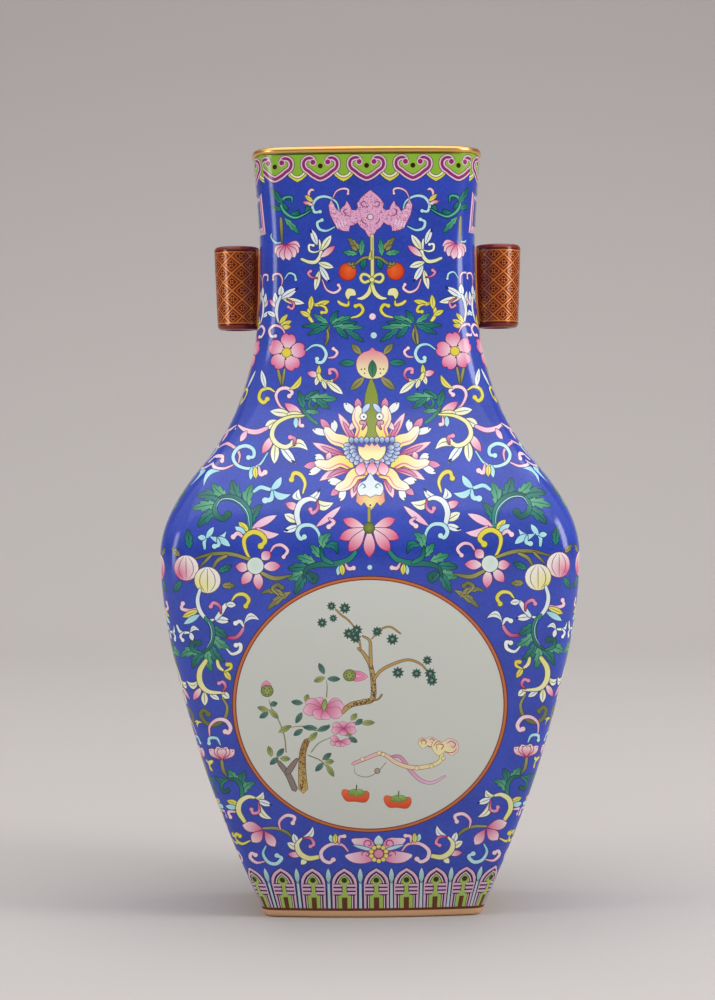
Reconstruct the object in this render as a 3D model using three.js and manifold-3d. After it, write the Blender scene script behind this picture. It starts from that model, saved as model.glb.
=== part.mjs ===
// A porcelain vase of rounded rectangular section with a tubular handle on each side of its neck.
// Millimetres, +Z up, origin at the middle of the underside. The wide faces look along -Y and +Y.
import * as THREE from "three";
import Module from "manifold-3d";

// Heights above the table
const height = 302;
const lipDepth = 2.8;
const lipHeight = height - lipDepth;
const neckHeight = 262;
const neckBaseHeight = 232;
const slopeHeight = 177;
const shoulderHeight = 143.5;
const bellyHeight = 72.5;
const footBandHeight = 3;

// Half widths of the wide face at those heights, and how fast each grows with height there
const lipHalfWidth = 45.6;
const neckHalfWidth = 43.2;
const neckBaseHalfWidth = 44.6;
const slopeHalfWidth = 66.9;
const shoulderHalfWidth = 82.4;
const bellyHalfWidth = 70;
const footHalfWidth = 45.2;
const lipFlare = 0.08;
const neckBaseFlare = -0.14;
const slopeFlare = -0.82;
const bellyFlare = 0.26;
const footFlare = 0.41;

// From back to front the vase is slimmer than from side to side, by the same amount at every height
const depthDifference = 14.4;

// Corner radius and outward bow of a wide face at the foot, the shoulder and the neck
const footCorner = 6;
const shoulderCorner = 12;
const neckCorner = 13;
const footBow = 4;
const shoulderBow = 5;
const neckBow = 4;

// Porcelain thickness, the rounded lip and the foot
const wall = 4.5;
const lipRoll = 0.3;
const footRounding = 1.5;
const footRimWidth = 6;
const footRecess = 5;
const floorThickness = 7;
const floorFillet = 8;

// The tubular handles, which narrow a little downwards
const tubeTop = 265;
const tubeLength = 33.4;
const tubeTopReach = 61.8;
const tubeBottomReach = 60.5;
const tubeHalfWidth = 9.2;
const tubeHalfDepth = 10;
const tubeNarrowing = 0.94;
const tubeWall = 3;
const tubeEdgeRounding = 1.6;
const lutingHalfDepth = 5.5;
const lutingEndInset = 1.6;

// Fineness of the facets
const stepsAcrossFace = 5;
const stepsRoundCorner = 4;
const filletSteps = 3;
const tubeSides = 28;

// The profile from the foot up: the section at each landmark, and the facets that lead up to it
const landmarks = [
  { z: footBandHeight, w: footHalfWidth, flare: footFlare, corner: footCorner, bow: footBow },
  {
    z: bellyHeight,
    w: bellyHalfWidth,
    flare: bellyFlare,
    corner: (footCorner + shoulderCorner) / 2,
    bow: (footBow + shoulderBow) / 2,
    steps: 4,
  },
  {
    z: shoulderHeight,
    w: shoulderHalfWidth,
    flare: 0,
    corner: shoulderCorner,
    bow: shoulderBow,
    steps: 5,
  },
  {
    z: slopeHeight,
    w: slopeHalfWidth,
    flare: slopeFlare,
    corner: shoulderCorner,
    bow: shoulderBow,
    steps: 6,
  },
  {
    z: neckBaseHeight,
    w: neckBaseHalfWidth,
    flare: neckBaseFlare,
    corner: neckCorner,
    bow: neckBow,
    steps: 5,
  },
  { z: neckHeight, w: neckHalfWidth, flare: 0, corner: neckCorner, bow: neckBow, steps: 2 },
  { z: lipHeight, w: lipHalfWidth, flare: lipFlare, corner: neckCorner, bow: neckBow, steps: 3 },
];

const { lerp, clamp, degToRad } = THREE.MathUtils;
const wasm = await Module();
wasm.setup();

// Section of the outside at a height: half width and depth, corner radius, bow, and slope of the wall.
function outsideAt(z) {
  const within = clamp(z, footBandHeight, lipHeight);
  const next = Math.max(
    1,
    landmarks.findIndex((mark) => mark.z >= within),
  );
  const [low, high] = [landmarks[next - 1], landmarks[next]];
  const span = high.z - low.z;
  const t = (within - low.z) / span;
  const ease = t * t * (3 - 2 * t);
  const bend = span * t * (1 - t) * ((1 - t) * low.flare - t * high.flare);
  const halfWidth = lerp(low.w, high.w, ease) + bend;
  const flare =
    (6 * t * (1 - t) * (high.w - low.w)) / span +
    (1 - t) * (1 - 3 * t) * low.flare +
    t * (3 * t - 2) * high.flare;
  return {
    z,
    halfWidth,
    halfDepth: halfWidth - depthDifference,
    corner: lerp(low.corner, high.corner, ease),
    bow: lerp(low.bow, high.bow, ease),
    flare,
  };
}

// The same section moved in by a distance measured across the sloping wall.
function inset(section, distance, z = section.z) {
  const sideways = distance * Math.hypot(1, section.flare);
  return {
    ...section,
    z,
    halfWidth: section.halfWidth - sideways,
    halfDepth: section.halfDepth - sideways,
    corner: Math.max(section.corner - sideways, 1.5),
  };
}

// The foot band carries the slope of the wall on down to the table.
function footAt(z, rounding) {
  const top = outsideAt(footBandHeight);
  const distance = (top.flare * (footBandHeight - z)) / Math.hypot(1, top.flare) + rounding;
  return inset(top, distance, z);
}

// Points along an arc, without its last one.
function arc(centre, radius, from, to, steps) {
  return Array.from({ length: steps }, (_, i) => {
    const angle = lerp(from, to, i / steps);
    return new THREE.Vector2(radius, 0).rotateAround(new THREE.Vector2(), angle).add(centre);
  });
}

// The point at given distances from two centres that lies furthest to the right and to the front.
function meetingPoint(a, fromA, b, fromB) {
  const apart = b.clone().sub(a);
  const gap = apart.length();
  const along = (gap ** 2 + fromA ** 2 - fromB ** 2) / (2 * gap);
  const off = Math.sqrt(fromA ** 2 - along ** 2);
  const base = a.clone().addScaledVector(apart, along / gap);
  const across = new THREE.Vector2(-apart.y, apart.x).divideScalar(gap);
  const options = [-off, off].map((distance) => base.clone().addScaledVector(across, distance));
  return options.sort((p, q) => q.x - q.y - (p.x - p.y))[0];
}

// A ring of points round a section, whose four faces are arcs joined by corner arcs that touch them.
function ring({ z, halfWidth, halfDepth, corner, bow }) {
  const sideBow = (bow * halfDepth) / halfWidth;
  const faceRadius = (halfWidth ** 2 + bow ** 2) / (2 * bow);
  const sideRadius = (halfDepth ** 2 + sideBow ** 2) / (2 * sideBow);
  const faceCentre = new THREE.Vector2(0, faceRadius - halfDepth);
  const sideCentre = new THREE.Vector2(halfWidth - sideRadius, 0);
  const cornerCentre = meetingPoint(
    faceCentre,
    faceRadius - corner,
    sideCentre,
    sideRadius - corner,
  );
  const faceEnd = cornerCentre.clone().sub(faceCentre).angle() - 2 * Math.PI;
  const sideEnd = cornerCentre.clone().sub(sideCentre).angle() - 2 * Math.PI;
  const quarter = [
    ...arc(faceCentre, faceRadius, -Math.PI / 2, faceEnd, stepsAcrossFace),
    ...arc(cornerCentre, corner, faceEnd, sideEnd, stepsRoundCorner),
    ...arc(sideCentre, sideRadius, sideEnd, 0, stepsAcrossFace),
    new THREE.Vector2(halfWidth, 0),
  ];
  const forwards = quarter.slice(0, -1);
  const backwards = quarter.slice(1).reverse();
  const mirrored = (points, x, y) => points.map((p) => new THREE.Vector3(p.x * x, p.y * y, z));
  return [
    ...mirrored(forwards, 1, 1),
    ...mirrored(backwards, 1, -1),
    ...mirrored(forwards, -1, -1),
    ...mirrored(backwards, -1, 1),
  ];
}

// Facet heights between two heights, through every landmark on the way.
function facetHeights(low, high) {
  const passed = landmarks.filter((mark) => mark.z > low && mark.z <= high);
  return passed.reduce(
    (heights, mark) => {
      const from = heights.at(-1);
      const steps = Array.from({ length: mark.steps }, (_, i) =>
        lerp(from, mark.z, (i + 1) / mark.steps),
      );
      return [...heights, ...steps];
    },
    [low],
  );
}

// The body's rings: out of the recess under the foot, up the outside, over the lip and down the inside.
function bodyRings() {
  const lip = outsideAt(lipHeight);
  const floorTop = footRecess + floorThickness;
  const lipRise = lipDepth * 0.57;
  const lipRings = [-40, 0, 40, 90, 140].map((degrees) => {
    const angle = degToRad(degrees);
    const across = (wall - lipRoll) / 2 - ((wall + lipRoll) / 2) * Math.cos(angle);
    return inset(lip, across, height - lipRise + lipRise * Math.sin(angle));
  });
  const fillet = Array.from({ length: filletSteps }, (_, i) => {
    const turn = ((i + 1) / filletSteps) * (Math.PI / 2);
    const z = floorTop + floorFillet * (1 - Math.sin(turn));
    return inset(outsideAt(z), wall + floorFillet * (1 - Math.cos(turn)));
  });
  return [
    { ...footAt(0, footRimWidth), z: footRecess },
    footAt(0, footRimWidth),
    footAt(0, footRounding),
    footAt(footRounding * 0.3, footRounding * 0.3),
    ...facetHeights(footBandHeight, lipHeight).map(outsideAt),
    ...lipRings,
    ...facetHeights(floorTop + floorFillet, lipHeight)
      .reverse()
      .map((z) => inset(outsideAt(z), wall)),
    ...fillet,
  ].map(ring);
}

// One closed solid through rings of points, shut by a fan at each end.
function loft(rings) {
  const count = rings[0].length;
  const points = rings.flat();
  const triangles = [];
  for (let row = 0; row < rings.length - 1; row++) {
    for (let i = 0; i < count; i++) {
      const a = row * count + i;
      const b = row * count + ((i + 1) % count);
      triangles.push(a, b, b + count, a, b + count, a + count);
    }
  }
  const middle = (edge) =>
    edge.reduce((sum, p) => sum.add(p), new THREE.Vector3()).divideScalar(count);
  const first = points.push(middle(rings[0])) - 1;
  const last = points.push(middle(rings.at(-1))) - 1;
  const lastRow = (rings.length - 1) * count;
  for (let i = 0; i < count; i++) {
    const next = (i + 1) % count;
    triangles.push(first, next, i, last, lastRow + i, lastRow + next);
  }
  return new wasm.Manifold(
    new wasm.Mesh({
      numProp: 3,
      vertProperties: new Float32Array(points.flatMap((p) => p.toArray())),
      triVerts: new Uint32Array(triangles),
    }),
  );
}

// A handle on the right or the left: an oval tube and the clay that lutes it to the neck, with its bore.
function handle(side) {
  const bottom = tubeTop - tubeLength;
  const past = 1;
  const oval = (z, thinner) => {
    const t = (z - bottom) / tubeLength;
    const size = lerp(tubeNarrowing, 1, t);
    const reach = lerp(tubeBottomReach, tubeTopReach, t);
    const centreX = side * (reach - tubeHalfWidth * size);
    return Array.from({ length: tubeSides }, (_, i) => {
      const angle = (i / tubeSides) * 2 * Math.PI;
      const x = centreX + (tubeHalfWidth * size - thinner) * Math.cos(angle);
      return new THREE.Vector3(x, (tubeHalfDepth * size - thinner) * Math.sin(angle), z);
    });
  };
  const soft = tubeEdgeRounding;
  const tube = loft([
    oval(bottom, soft),
    oval(bottom + soft * 0.3, soft * 0.3),
    oval(bottom + soft, 0),
    oval(tubeTop - soft, 0),
    oval(tubeTop - soft * 0.3, soft * 0.3),
    oval(tubeTop, soft),
  ]);
  const bore = loft([oval(bottom - past, tubeWall), oval(tubeTop + past, tubeWall)]);
  const reaches = [neckHalfWidth - wall / 2, tubeTopReach - tubeHalfWidth];
  const [left, right] = reaches.map((reach) => side * reach).sort((a, b) => a - b);
  const strip = (z) => [
    new THREE.Vector3(left, -lutingHalfDepth, z),
    new THREE.Vector3(right, -lutingHalfDepth, z),
    new THREE.Vector3(right, lutingHalfDepth, z),
    new THREE.Vector3(left, lutingHalfDepth, z),
  ];
  const luting = loft([strip(bottom + lutingEndInset), strip(tubeTop - lutingEndInset)]);
  return tube.add(luting).subtract(bore);
}

// The body and its handles are luted together and fired as one piece.
function vase() {
  const solid = loft(bodyRings()).add(handle(1)).add(handle(-1));
  const { vertProperties, triVerts } = solid.getMesh();
  const geometry = new THREE.BufferGeometry();
  geometry.setAttribute("position", new THREE.BufferAttribute(new Float32Array(vertProperties), 3));
  geometry.setIndex(new THREE.BufferAttribute(new Uint32Array(triVerts), 1));
  geometry.computeVertexNormals();
  const glaze = new THREE.MeshStandardMaterial({ color: "#4150b4", roughness: 0.15 });
  const mesh = new THREE.Mesh(geometry, glaze);
  mesh.name = "vase";
  return mesh;
}

const model = new THREE.Group();
model.add(vase());

export default model;
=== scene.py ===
import math

import bpy
import numpy as np
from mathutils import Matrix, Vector
from mathutils.geometry import delaunay_2d_cdt


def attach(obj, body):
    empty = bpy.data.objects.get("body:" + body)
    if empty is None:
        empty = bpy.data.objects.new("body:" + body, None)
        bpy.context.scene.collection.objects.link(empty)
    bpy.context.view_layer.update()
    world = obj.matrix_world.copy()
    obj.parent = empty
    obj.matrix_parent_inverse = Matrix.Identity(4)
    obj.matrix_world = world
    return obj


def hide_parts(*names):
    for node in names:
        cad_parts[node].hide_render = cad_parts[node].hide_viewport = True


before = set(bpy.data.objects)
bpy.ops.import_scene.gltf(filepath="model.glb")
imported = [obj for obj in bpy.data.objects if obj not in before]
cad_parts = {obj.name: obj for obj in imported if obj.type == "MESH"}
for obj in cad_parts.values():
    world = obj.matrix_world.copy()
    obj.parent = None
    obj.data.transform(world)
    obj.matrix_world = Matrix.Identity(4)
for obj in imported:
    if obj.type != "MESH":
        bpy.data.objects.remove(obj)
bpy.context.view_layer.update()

# Sizes are millimetres until they reach a mesh.
mm = 0.001

# The body's section at landmarks from the foot to the lip, as in the solid.
body = {
    "z": np.array([3, 72.5, 143.5, 177, 232, 262, 299.2]),
    "halfWidth": np.array([45.2, 70, 82.4, 66.9, 44.6, 43.2, 45.6]),
    "flare": np.array([0.41, 0.26, 0, -0.82, -0.14, 0, 0.08]),
    "corner": np.array([6, 9, 12, 12, 13, 13, 13]),
    "bow": np.array([4, 4.5, 5, 5, 4, 4, 4]),
    "depthDifference": 14.4,
    "height": 302,
    "lipDepth": 2.8,
    "lipRiseShare": 0.57,
    "lipRoll": 0.3,
    "wall": 4.5,
    "footRounding": 1.5,
    "footRimWidth": 6,
    "footRecess": 5,
    "floorTop": 12,
    "floorFillet": 8,
}


# Half width, half depth, corner radius and bow at each height, moved in across the sloping wall.
def sectionAt(z, inset=0.0):
    z = np.clip(np.asarray(z, float), body["z"][0], body["z"][-1])
    high = np.clip(np.searchsorted(body["z"], z), 1, len(body["z"]) - 1)
    low = high - 1
    span = body["z"][high] - body["z"][low]
    t = (z - body["z"][low]) / span
    ease = t * t * (3 - 2 * t)
    mix = lambda values: values[low] + (values[high] - values[low]) * ease
    fromFlare, toFlare = body["flare"][low], body["flare"][high]
    rise = body["halfWidth"][high] - body["halfWidth"][low]
    halfWidth = mix(body["halfWidth"]) + span * t * (1 - t) * ((1 - t) * fromFlare - t * toFlare)
    flare = 6 * t * (1 - t) * rise / span + (1 - t) * (1 - 3 * t) * fromFlare
    flare = flare + t * (3 * t - 2) * toFlare
    sideways = inset * np.hypot(1, flare)
    corner = np.maximum(mix(body["corner"]) - sideways, 1.5)
    halfWidth = halfWidth - sideways
    return halfWidth, halfWidth - body["depthDifference"], corner, mix(body["bow"])


# The arcs of a section: two bowed faces and the corner arc that touches both.
def arcsOf(halfWidth, halfDepth, corner, bow):
    sideBow = bow * halfDepth / halfWidth
    wideRadius = (halfWidth**2 + bow**2) / (2 * bow)
    sideRadius = (halfDepth**2 + sideBow**2) / (2 * sideBow)
    wideY, sideX = wideRadius - halfDepth, halfWidth - sideRadius
    gap = np.hypot(sideX, wideY)
    fromWide, fromSide = wideRadius - corner, sideRadius - corner
    along = (gap**2 + fromWide**2 - fromSide**2) / (2 * gap)
    off = np.sqrt(fromWide**2 - along**2)
    baseX, baseY = sideX * along / gap, wideY - wideY * along / gap
    options = [(baseX + s * off * wideY / gap, baseY + s * off * sideX / gap) for s in (1, -1)]
    better = options[0][0] - options[0][1] > options[1][0] - options[1][1]
    cornerX = np.where(better, options[0][0], options[1][0])
    cornerY = np.where(better, options[0][1], options[1][1])
    return {
        "wideRadius": wideRadius,
        "sideRadius": sideRadius,
        "wideY": wideY,
        "sideX": sideX,
        "corner": corner,
        "cornerX": cornerX,
        "cornerY": cornerY,
        "wideTurn": np.arctan2(cornerX, wideY - cornerY),
        "sideTurn": np.pi / 2 - np.arctan2(cornerX - sideX, -cornerY),
    }


# How far a painted face reaches from its middle, to halfway round the corner, along the surface.
def faceReach(z, wide):
    arcs = arcsOf(*sectionAt(z))
    half = (np.pi / 2 - arcs["wideTurn"] - arcs["sideTurn"]) / 2 * arcs["corner"]
    if wide:
        return arcs["wideRadius"] * arcs["wideTurn"] + half
    return arcs["sideRadius"] * arcs["sideTurn"] + half


# A place on the body from its distance along the surface from the middle of a face, and its height.
def bodyPoint(u, z, wide, inset=0.0):
    arcs = arcsOf(*sectionAt(z, inset))
    away = np.abs(u)
    if wide:
        flat = arcs["wideRadius"] * arcs["wideTurn"]
        turn = np.where(away <= flat, away / arcs["wideRadius"],
            arcs["wideTurn"] + (away - flat) / arcs["corner"])
        onFace = away <= flat
        x = np.where(onFace, arcs["wideRadius"] * np.sin(turn),
            arcs["cornerX"] + arcs["corner"] * np.sin(turn))
        y = np.where(
            onFace,
            arcs["wideY"] - arcs["wideRadius"] * np.cos(turn),
            arcs["cornerY"] - arcs["corner"] * np.cos(turn),
        )
        return np.stack([x * np.sign(u), y, z + 0 * x], -1)
    flat = arcs["sideRadius"] * arcs["sideTurn"]
    turn = np.where(away <= flat, away / arcs["sideRadius"],
        arcs["sideTurn"] + (away - flat) / arcs["corner"])
    onFace = away <= flat
    x = np.where(
        onFace,
        arcs["sideX"] + arcs["sideRadius"] * np.cos(turn),
        arcs["cornerX"] + arcs["corner"] * np.cos(turn),
    )
    y = np.where(onFace, -arcs["sideRadius"] * np.sin(turn), arcs["cornerY"] - arcs["corner"] * np.sin(turn))
    return np.stack([x, -y * np.sign(u), z + 0 * x], -1)


# Painting. A motif is a list of flat shapes in painter's order, in mm on the surface.
def linear(colour):
    channels = np.array([int(colour[i : i + 2], 16) for i in (1, 3, 5)]) / 255
    return np.where(channels <= 0.04045, channels / 12.92, ((channels + 0.055) / 1.055) ** 2.4)


# One flat shape. With a second colour it shades from start to end, or from start outwards where round.
def fill(points, colour, toColour=None, start=(0, 0), end=(1, 0), round=False):
    return {
        "points": np.array(points, float),
        "colours": (colour, toColour or colour),
        "start": np.array(start, float),
        "end": np.array(end, float),
        "round": round,
    }


def smooth(points, closed=False, steps=4):
    p = np.array(points, float)
    if closed:
        p = np.vstack([p[-1], p, p[:2]])
    else:
        p = np.vstack([2 * p[0] - p[1], p, 2 * p[-1] - p[-2]])
    t = np.linspace(0, 1, steps, endpoint=False)[:, None]
    curve = [
        (2 * b + (c - a) * t + (2 * a - 5 * b + 4 * c - d) * t**2 + (3 * b - a - 3 * c + d) * t**3) / 2
        for a, b, c, d in zip(p, p[1:], p[2:], p[3:])
    ]
    return np.vstack(curve + ([] if closed else [p[-2:-1]]))


# The outline moved outwards by a distance.
def grown(points, distance):
    before, after = np.roll(points, 1, 0), np.roll(points, -1, 0)
    along = after - before
    out = np.stack([along[:, 1], -along[:, 0]], -1)
    out /= np.linalg.norm(out, axis=1)[:, None] + 1e-9
    turned = np.sum(points[:, 0] * after[:, 1] - points[:, 1] * after[:, 0])
    return points + out * distance * (1 if turned > 0 else -1)


def edged(points, edge, edgeWidth, *colours, **shading):
    points = np.array(points, float)
    rim = [fill(grown(points, edgeWidth), edge)] if edge else []
    return rim + [fill(points, *colours, **shading)]


# A brush stroke through points. Its width is that share of the full width at its start, middle and end.
def stroke(points, width, colour, edge=None, taper=(0.35, 1, 0.8), toColour=None, edgeWidth=0.28, steps=4):
    line = smooth(points, steps=steps)
    t = np.linspace(0, 1, len(line))
    share = taper[0] * (1 - t) * (1 - 2 * t) + 4 * taper[1] * t * (1 - t) + taper[2] * t * (2 * t - 1)
    along = np.gradient(line, axis=0)
    along /= np.linalg.norm(along, axis=1)[:, None] + 1e-9
    side = np.stack([-along[:, 1], along[:, 0]], -1) * (share * width / 2)[:, None]
    tip = line[-1] + along[-1] * share[-1] * width / 2
    heel = line[0] - along[0] * share[0] * width / 2
    outline = np.vstack([line - side, tip[None], (line + side)[::-1], heel[None]])
    return edged(outline, edge, edgeWidth, colour, toColour, start=line[0], end=line[-1])


def disc(centre, radius, colour, edge=None, toColour=None, edgeWidth=0.28, squash=1.0, sides=14):
    turn = np.linspace(0, 2 * np.pi, sides, endpoint=False)
    outline = np.array(centre) + radius * np.stack([np.cos(turn), squash * np.sin(turn)], -1)
    end = np.array(centre) + [radius, 0]
    return edged(outline, edge, edgeWidth, colour, toColour, start=centre, end=end, round=True)


# A tendril that ends in a small round bulb.
def tendril(points, width, colour, edge=None, bulb=0.7, **more):
    shapes = stroke(points, width, colour, edge, **more)
    knob = disc(points[-1], width * bulb, more.get("toColour") or colour, edge)
    return knob[:-1] + shapes + knob[-1:]


# A petal or leaf from its base to its tip. Belly says how near the tip its widest place lies.
# Lobes cut its sides into that many forward-pointing lobes.
def leaf(base, tip, width, colour, toColour=None, edge=None, bend=0.0, belly=0.5, edgeWidth=0.28, vein=None,
    lobes=0):
    base, tip = np.array(base, float), np.array(tip, float)
    along = tip - base
    across = np.array([-along[1], along[0]])
    t = np.linspace(0, 1, 8)
    if lobes:
        t = np.append((np.arange(lobes)[:, None] + [0.0, 0.4, 0.75, 0.98]).ravel() / lobes, 1)
    spread = np.sin(np.pi * t ** (math.log(0.5) / math.log(belly))) ** 0.8
    if lobes:
        spread *= 0.66 + 0.5 * (t * lobes % 1)
    middle = base + along * t[:, None] + across * (bend * 4 * t * (1 - t))[:, None]
    side = across / (np.linalg.norm(across) + 1e-9) * (spread * width / 2)[:, None]
    outline = np.vstack([middle - side, (middle + side)[-2:0:-1]])
    shapes = edged(outline, edge, edgeWidth, colour, toColour, start=base, end=tip)
    if vein:
        shapes += [fill(np.vstack([middle[:-1] - side[:-1] * 0.09, (middle + side * 0.09)[-2:0:-1]]), vein)]
    return shapes


# A motif set down in its place: enlarged, flipped, turned (in degrees) and moved.
def placed(shapes, x, z, turn=0, size=1.0, flip=False):
    angle = math.radians(turn)
    across, up = (-size if flip else size), size
    matrix = np.array(
        [[across * math.cos(angle), across * math.sin(angle)], [-up * math.sin(angle), up * math.cos(angle)]]
    )
    moved = lambda p: p @ matrix + np.array([x, z])
    return [
        {**shape, "points": moved(shape["points"]), "start": moved(shape["start"]),
            "end": moved(shape["end"])}
        for shape in shapes
    ]


# The left half of a design with its mirror image about a middle line.
def bothSides(shapes, middle=0.0):
    return shapes + placed(shapes, 2 * middle, 0, flip=True)


# Which shape lies on top at each place, or -1 for none.
def topShapes(shapes, places):
    order = np.argsort(places[:, 1])
    heights = places[order, 1]
    top = np.full(len(places), -1)
    for number in range(len(shapes) - 1, -1, -1):
        points = shapes[number]["points"]
        (left, bottom), (right, above) = points.min(0), points.max(0)
        near = order[np.searchsorted(heights, bottom) : np.searchsorted(heights, above)]
        near = near[(top[near] < 0) & (places[near, 0] > left) & (places[near, 0] < right)]
        if not len(near):
            continue
        x, z = places[near, 0][:, None], places[near, 1][:, None]
        ax, az = points[:, 0], points[:, 1]
        bx, bz = np.roll(ax, -1), np.roll(az, -1)
        side = (bx - ax) * (z - az) - (x - ax) * (bz - az)
        winding = ((az <= z) & (bz > z) & (side > 0)).sum(1) - ((az > z) & (bz <= z) & (side < 0)).sum(1)
        top[near[winding != 0]] = number
    return top


# The colour that each shape has at each place.
def coloursAt(shapes, numbers, places, ground):
    first = np.array([linear(ground)] + [linear(s["colours"][0]) for s in shapes])
    last = np.array([linear(ground)] + [linear(s["colours"][1]) for s in shapes])
    start = np.array([[0, 0]] + [s["start"] for s in shapes], float)
    end = np.array([[1, 0]] + [s["end"] for s in shapes], float)
    rounded = np.array([False] + [s["round"] for s in shapes])
    which = numbers + 1
    reach = end[which] - start[which]
    fromStart = places - start[which]
    length = np.linalg.norm(reach, axis=-1) + 1e-9
    straight = (fromStart * reach).sum(-1) / length**2
    t = np.clip(np.where(rounded[which], np.linalg.norm(fromStart, axis=-1) / length, straight), 0, 1)
    return first[which] + (last[which] - first[which]) * t[..., None]


# A painted surface: its flat drawing is cut into triangles along every edge of the painting and bent
# into place. where(u, z) gives the place in mm, and outline is the drawing's border.
def paintedSurface(name, shapes, outline, grid, where, materials, gilt=(), ground=None):
    places, edges = [], []
    for points in [outline] + [shape["points"] for shape in shapes]:
        first, count = len(places), len(points)
        places.extend(points.tolist())
        edges.extend((first + i, first + (i + 1) % count) for i in range(count))
    places.extend(grid.tolist())
    flat, _, faces, *_ = delaunay_2d_cdt(places, edges, [], 0, 1e-5, False)
    flat = np.array([tuple(p) for p in flat])
    faces = np.array(faces)
    middles = flat[faces].mean(1)
    inside = topShapes([fill(outline, "#000000")], middles) == 0
    a, b, c = (flat[faces[:, i]] for i in range(3))
    size = (b[:, 0] - a[:, 0]) * (c[:, 1] - a[:, 1]) - (c[:, 0] - a[:, 0]) * (b[:, 1] - a[:, 1])
    keep = inside & (size > 1e-7)
    faces, middles = faces[keep], middles[keep]
    used, faces = np.unique(faces, return_inverse=True)
    flat, faces = flat[used], faces.reshape(-1, 3)
    top = topShapes(shapes, middles)
    colours = coloursAt(shapes, np.repeat(top, 3), flat[faces.ravel()], ground or "#ffffff")
    solid = where(flat[:, 0], flat[:, 1])
    step = 0.02
    acrossWay = where(flat[:, 0] + step, flat[:, 1]) - where(flat[:, 0] - step, flat[:, 1])
    upWay = where(flat[:, 0], flat[:, 1] + step) - where(flat[:, 0], flat[:, 1] - step)
    normals = np.cross(acrossWay, upWay)
    normals /= np.linalg.norm(normals, axis=1)[:, None] + 1e-12
    mesh = bpy.data.meshes.new(name)
    mesh.from_pydata((solid * mm).tolist(), [], faces.tolist())
    for material in materials:
        mesh.materials.append(material)
    paint = mesh.color_attributes.new("paint", "FLOAT_COLOR", "CORNER")
    paint.data.foreach_set("color",
        np.column_stack([colours, np.ones(len(colours))]).astype(np.float32).ravel())
    giltNumbers = np.array([s["colours"][0] in gilt for s in shapes] + [False])
    slots = np.where(top < 0, 0, np.where(giltNumbers[top], 2, 1))
    mesh.polygons.foreach_set("material_index", slots.astype(np.int32))
    low, high = flat.min(0), flat.max(0)
    chart = mesh.uv_layers.new(name="OFBake")
    chart.data.foreach_set("uv",
        ((flat[faces.ravel()] - low) / (high - low) * 0.996 + 0.002).astype(np.float32).ravel())
    mesh.polygons.foreach_set("use_smooth", np.ones(len(faces), bool))
    mesh.normals_split_custom_set_from_vertices(normals.tolist())
    made = bpy.data.objects.new(name, mesh)
    bpy.context.scene.collection.objects.link(made)
    print(name, len(shapes), "shapes", len(faces), "triangles", flush=True)
    return made


# A surface through rings of points, closed round, with a fan over its last ring where capped.
def ringSurface(name, rings, material, capped=False, closed=False):
    rings = [np.array(ring) for ring in rings]
    count = len(rings[0])
    points = np.vstack(rings)
    faces = [
        (r * count + i, r * count + (i + 1) % count, (r + 1) * count + (i + 1) % count, (r + 1) * count + i)
        for r in range(len(rings) - 1)
        for i in range(count)
    ]
    if capped:
        points = np.vstack([points, rings[-1].mean(0)])
        last = (len(rings) - 1) * count
        faces += [(last + i, last + (i + 1) % count, len(points) - 1) for i in range(count)]
    if closed:
        points = np.vstack([points, rings[0].mean(0)])
        faces += [((i + 1) % count, i, len(points) - 1) for i in range(count)]
    mesh = bpy.data.meshes.new(name)
    mesh.from_pydata((points * mm).tolist(), [], faces)
    mesh.materials.append(material)
    mesh.polygons.foreach_set("use_smooth", np.ones(len(faces), bool))
    made = bpy.data.objects.new(name, mesh)
    bpy.context.scene.collection.objects.link(made)
    return made


# A whole ring round the body at one height, counter-clockwise from above.
def bodyRing(z, inset=0.0, faceSteps=24, cornerSteps=10):
    halfWidth, halfDepth, corner, bow = sectionAt(z, inset)
    arcs = arcsOf(halfWidth, halfDepth, corner, bow)
    wideTurn, sideTurn = float(arcs["wideTurn"]), float(arcs["sideTurn"])
    turns = np.concatenate(
        [
            np.linspace(0, wideTurn, faceSteps, endpoint=False),
            np.linspace(wideTurn, np.pi / 2 - sideTurn, cornerSteps, endpoint=False),
            np.linspace(np.pi / 2 - sideTurn, np.pi / 2, faceSteps + 1),
        ]
    )
    wide, side = turns < wideTurn, turns > np.pi / 2 - sideTurn
    centreX = np.where(wide, 0, np.where(side, arcs["sideX"], arcs["cornerX"]))
    centreY = np.where(wide, arcs["wideY"], np.where(side, 0, arcs["cornerY"]))
    radius = np.where(wide, arcs["wideRadius"], np.where(side, arcs["sideRadius"], corner))
    quarter = np.stack([centreX + radius * np.sin(turns), centreY - radius * np.cos(turns)], -1)
    ring = np.vstack(
        [quarter[:-1], (quarter * [1, -1])[:0:-1], (-quarter)[:-1], (quarter * [-1, 1])[:0:-1]]
    )
    return np.column_stack([ring, np.full(len(ring), float(z))])


def addNode(tree, kind, inputs=None, **settings):
    node = tree.nodes.new(kind)
    for key, value in settings.items():
        setattr(node, key, value)
    for key, value in (inputs or {}).items():
        if isinstance(value, bpy.types.NodeSocket):
            tree.links.new(value, node.inputs[key])
        else:
            node.inputs[key].default_value = value
    return node


# A material and its node tree, with what stands on the shader's own sockets.
def newMaterial(name, colour, roughness, **sockets):
    material = bpy.data.materials.new(name)
    material.use_nodes = True
    tree = material.node_tree
    shader = tree.nodes["Principled BSDF"]
    shader.inputs["Base Color"].default_value = (*linear(colour), 1)
    shader.inputs["Roughness"].default_value = roughness
    for key, value in sockets.items():
        shader.inputs[key.replace("_", " ")].default_value = value
    material.diffuse_color = (*linear(colour), 1)
    return material, tree, shader


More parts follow.
